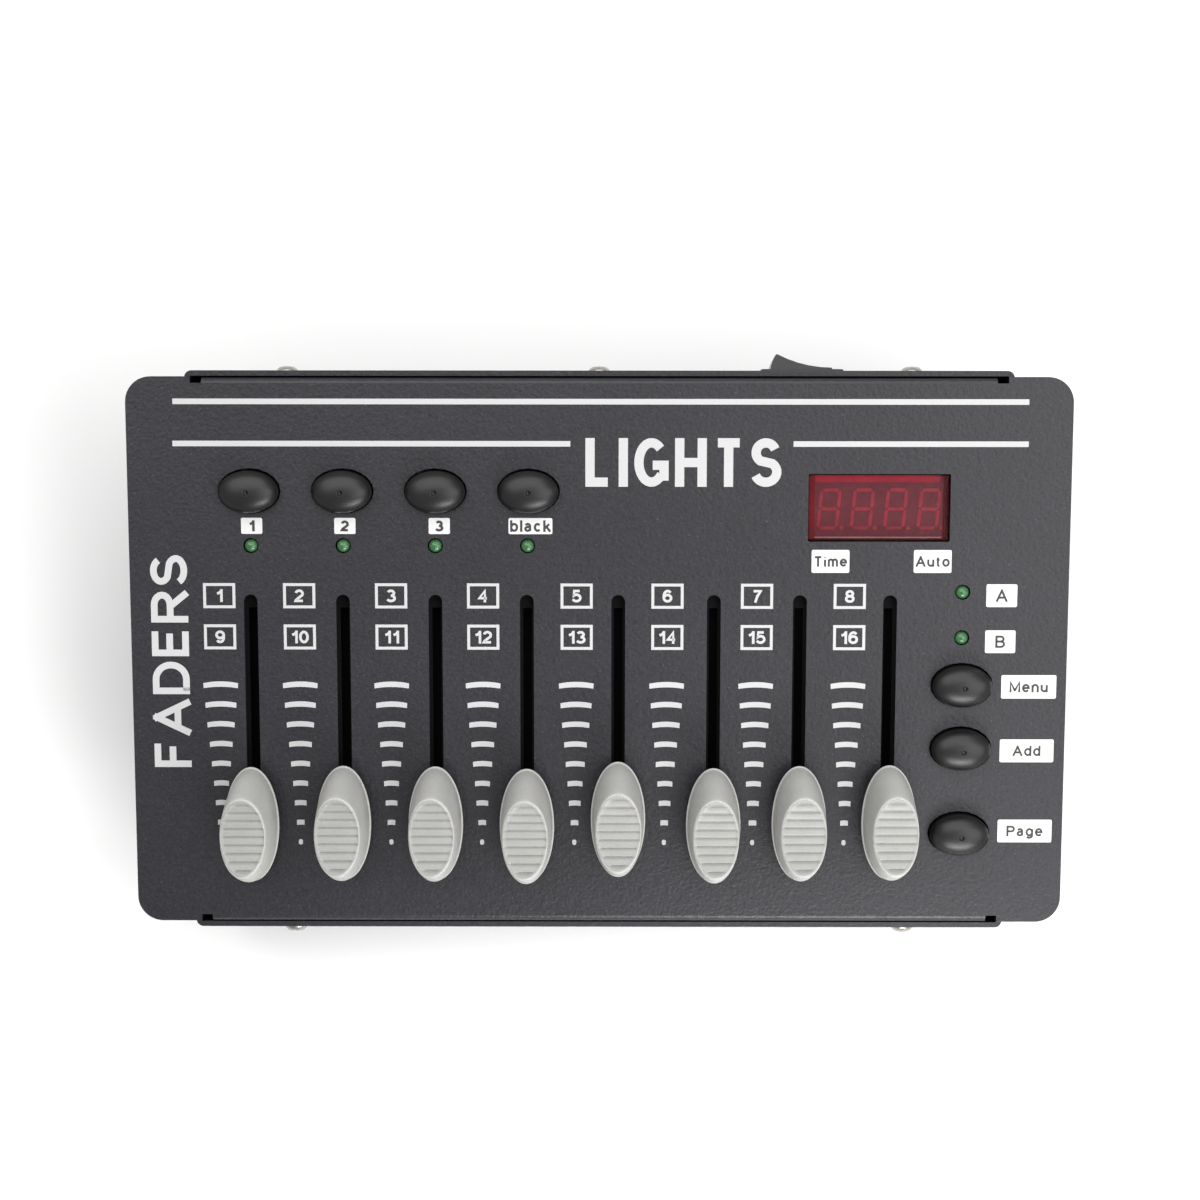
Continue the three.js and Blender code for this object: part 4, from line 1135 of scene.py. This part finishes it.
LABELS = (  # word, x, y, width and height of its plate, height of its letters, pen
    ("1", -75.25, 27.8, 4.6, 3.5, 2.4, 0.23),
    ("2", -55.05, 27.8, 4.6, 3.5, 2.4, 0.23),
    ("3", -34.6, 27.8, 4.6, 3.5, 2.4, 0.23),
    ("black", -14.85, 27.8, 9.5, 3.5, 2.5, 0.2),
    ("Time", 50.2, 20.2, 8.2, 5.0, 2.3, 0.2),
    ("Auto", 72.35, 20.2, 8.2, 5.0, 2.3, 0.19),
    ("A", 87.5, 12.75, 6.7, 5.0, 2.7, 0.17),
    ("B", 87.4, 2.65, 6.6, 5.0, 2.7, 0.17),
    ("Menu", 93.85, -7.3, 12.0, 5.2, 2.4, 0.19),
    ("Add", 93.75, -21.5, 11.8, 5.1, 2.3, 0.19),
    ("Page", 93.75, -39.45, 11.9, 5.1, 2.4, 0.19),
)


def tick(x, y, width, steps=8):
    """A scale mark, arched a little upwards in its middle."""
    rise = TICK_RISE * (width / TICK_WIDTHS[0])
    upper, lower = [], []
    for k in range(steps + 1):
        u = k / steps * 2 - 1
        arch = rise * (1 - u * u)
        upper.append((x + u * width / 2, y + arch + TICK_THICK / 2))
        lower.append((x + u * width / 2 * 0.985, y + arch * 0.8 - TICK_THICK / 2))
    return lower + upper[::-1]


def number_box(ink, number, x, y):
    """A number in a thin frame."""
    w, h = BOX_HALF
    ink.rect(x - w, y + h - BOX_LINE, x + w, y + h)
    ink.rect(x - w, y - h, x + w, y - h + BOX_LINE)
    ink.rect(x - w, y - h + BOX_LINE, x - w + BOX_LINE, y + h - BOX_LINE)
    ink.rect(x + w - BOX_LINE, y - h + BOX_LINE, x + w, y + h - BOX_LINE)
    ink.text(str(number), x, y, 2.8, 0.2, gap=0.1)


def fader_scale(ink, x):
    """Ticks that get narrower downwards, and a dot under them."""
    for k in range(len(TICK_WIDTHS) + 1):
        down = k * TICK_STEP
        across, y = x + TICK_SHIFT - down * TICK_LEAN, TICK_TOP_Y - down
        if k < len(TICK_WIDTHS):
            ink.outline(tick(across, y, TICK_WIDTHS[k]))
        else:
            w, h = DOT_HALF
            ink.rect(across - w, y - h, across + w, y + h, DOT_CORNER)


def printing():
    white = Print(INK_LOW, INK_HIGH)
    for corners in RULES:
        white.rect(*corners)
    white.text("LIGHTS", 18.2, 41.6, 10.5, 0.19, width=42.3, gap=0.13)
    white.text("FADERS", -93.5, -2.0, 8.1, 0.18, width=46.8, gap=0.15, turned=True)
    for column, x in enumerate(SCALE_X, 1):
        for row, y in enumerate(BOX_ROWS):
            number_box(white, column + len(SCALE_X) * row, x, y)
        fader_scale(white, x)
    white.finish("panel_print_white", WHITE_INK)
    label_plates = Print(INK_LOW, PLATE_HIGH)
    words = Print(WORD_LOW, WORD_HIGH)
    for text, x, y, wide, tall, height, pen in LABELS:
        label_plates.rect(x - wide / 2, y - tall / 2, x + wide / 2, y + tall / 2, PLATE_CORNER)
        words.text(text, x, y, height, pen, gap=0.16)
    label_plates.finish("panel_label_plates", LABEL_INK)
    words.finish("panel_label_words", BLACK_INK)


printing()

# -------- rear fittings and the inside

refined("switch_body", 0.3, MOULDED)
refined("switch_rocker", 0.3, GLOSSY, body="power_rocker", angle=25)
refined("power_jack", 0.2, MOULDED)
refined("output_socket", 0.25, MOULDED)
refined("power_jack_nut", 0.2, ZINC)
refined("control_board", 0.12, BOARD, segments=2)
for standoff in nodes_with("board_standoff"):
    refined(standoff, 0.15, ZINC, segments=2)

# -------- floor, lights and camera

FLOOR_HALF = 6  # metres
WORLD_STRENGTH = 0.44
AREA_LIGHTS = (  # name, place, target and size in metres, and power in watts
    ("overhead", (-0.12, 0.5, 0.8), (0, 0, 0.03), (1.5, 1.0), 9.5),
    ("key", (0.38, -0.08, 0.52), (0.05, 0, 0.04), (0.45, 0.5), 1.7),
    ("front", (0.1, -0.26, 0.19), (0.08, 0, 0.04), (0.2, 0.08), 0.72),
)
LENS = 63.247
CAMERA_OFFSET = (2.0, 0.29, 460)  # from the middle of the panel
CAMERA_TURN = (1.41, 0.22, 0.077)  # degrees


def floor():
    """A wide sheet of white paper."""
    bm = bmesh.new()
    bmesh.ops.create_grid(bm, x_segments=2, y_segments=2, size=FLOOR_HALF)
    mesh = mesh_of(bm, "floor")
    thing = linked("floor", mesh)
    m = Shader("floor_paper", (0.9, 0.9, 0.895), 0.7)
    m.color(m.ramp(m.noise(60, 2), (0.3, (0.895, 0.895, 0.89)), (0.7, (0.905, 0.905, 0.9))))
    m.bump(m.noise(1.5, 3), 0.02, 0.1)
    mesh.materials.append(m.material)


def area_light(name, place, target, size, power):
    data = bpy.data.lights.new(name, "AREA")
    data.shape = "RECTANGLE"
    data.size, data.size_y = size
    data.energy = power
    thing = linked(name, data)
    thing.location = place
    thing.rotation_euler = (Vector(target) - Vector(place)).to_track_quat("-Z", "Y").to_euler()


def studio():
    """A white world and three soft lights."""
    world = bpy.data.worlds.new("studio")
    world.use_nodes = True
    back = world.node_tree.nodes["Background"]
    back.inputs["Color"].default_value = (1, 1, 1, 1)
    back.inputs["Strength"].default_value = WORLD_STRENGTH
    bpy.context.scene.world = world
    for light in AREA_LIGHTS:
        area_light(*light)


def camera():
    """A camera looking down on the middle of the panel."""
    data = bpy.data.cameras.new("camera")
    data.lens = LENS
    data.clip_start, data.clip_end = 0.01, 20
    thing = linked("camera", data)
    thing.location = DECK.translation + Vector(CAMERA_OFFSET) * MM
    thing.rotation_euler = [math.radians(turn) for turn in CAMERA_TURN]
    bpy.context.scene.camera = thing


floor()
studio()
camera()
bpy.context.scene.view_settings.view_transform = "Standard"
bpy.context.scene.view_settings.look = "None"
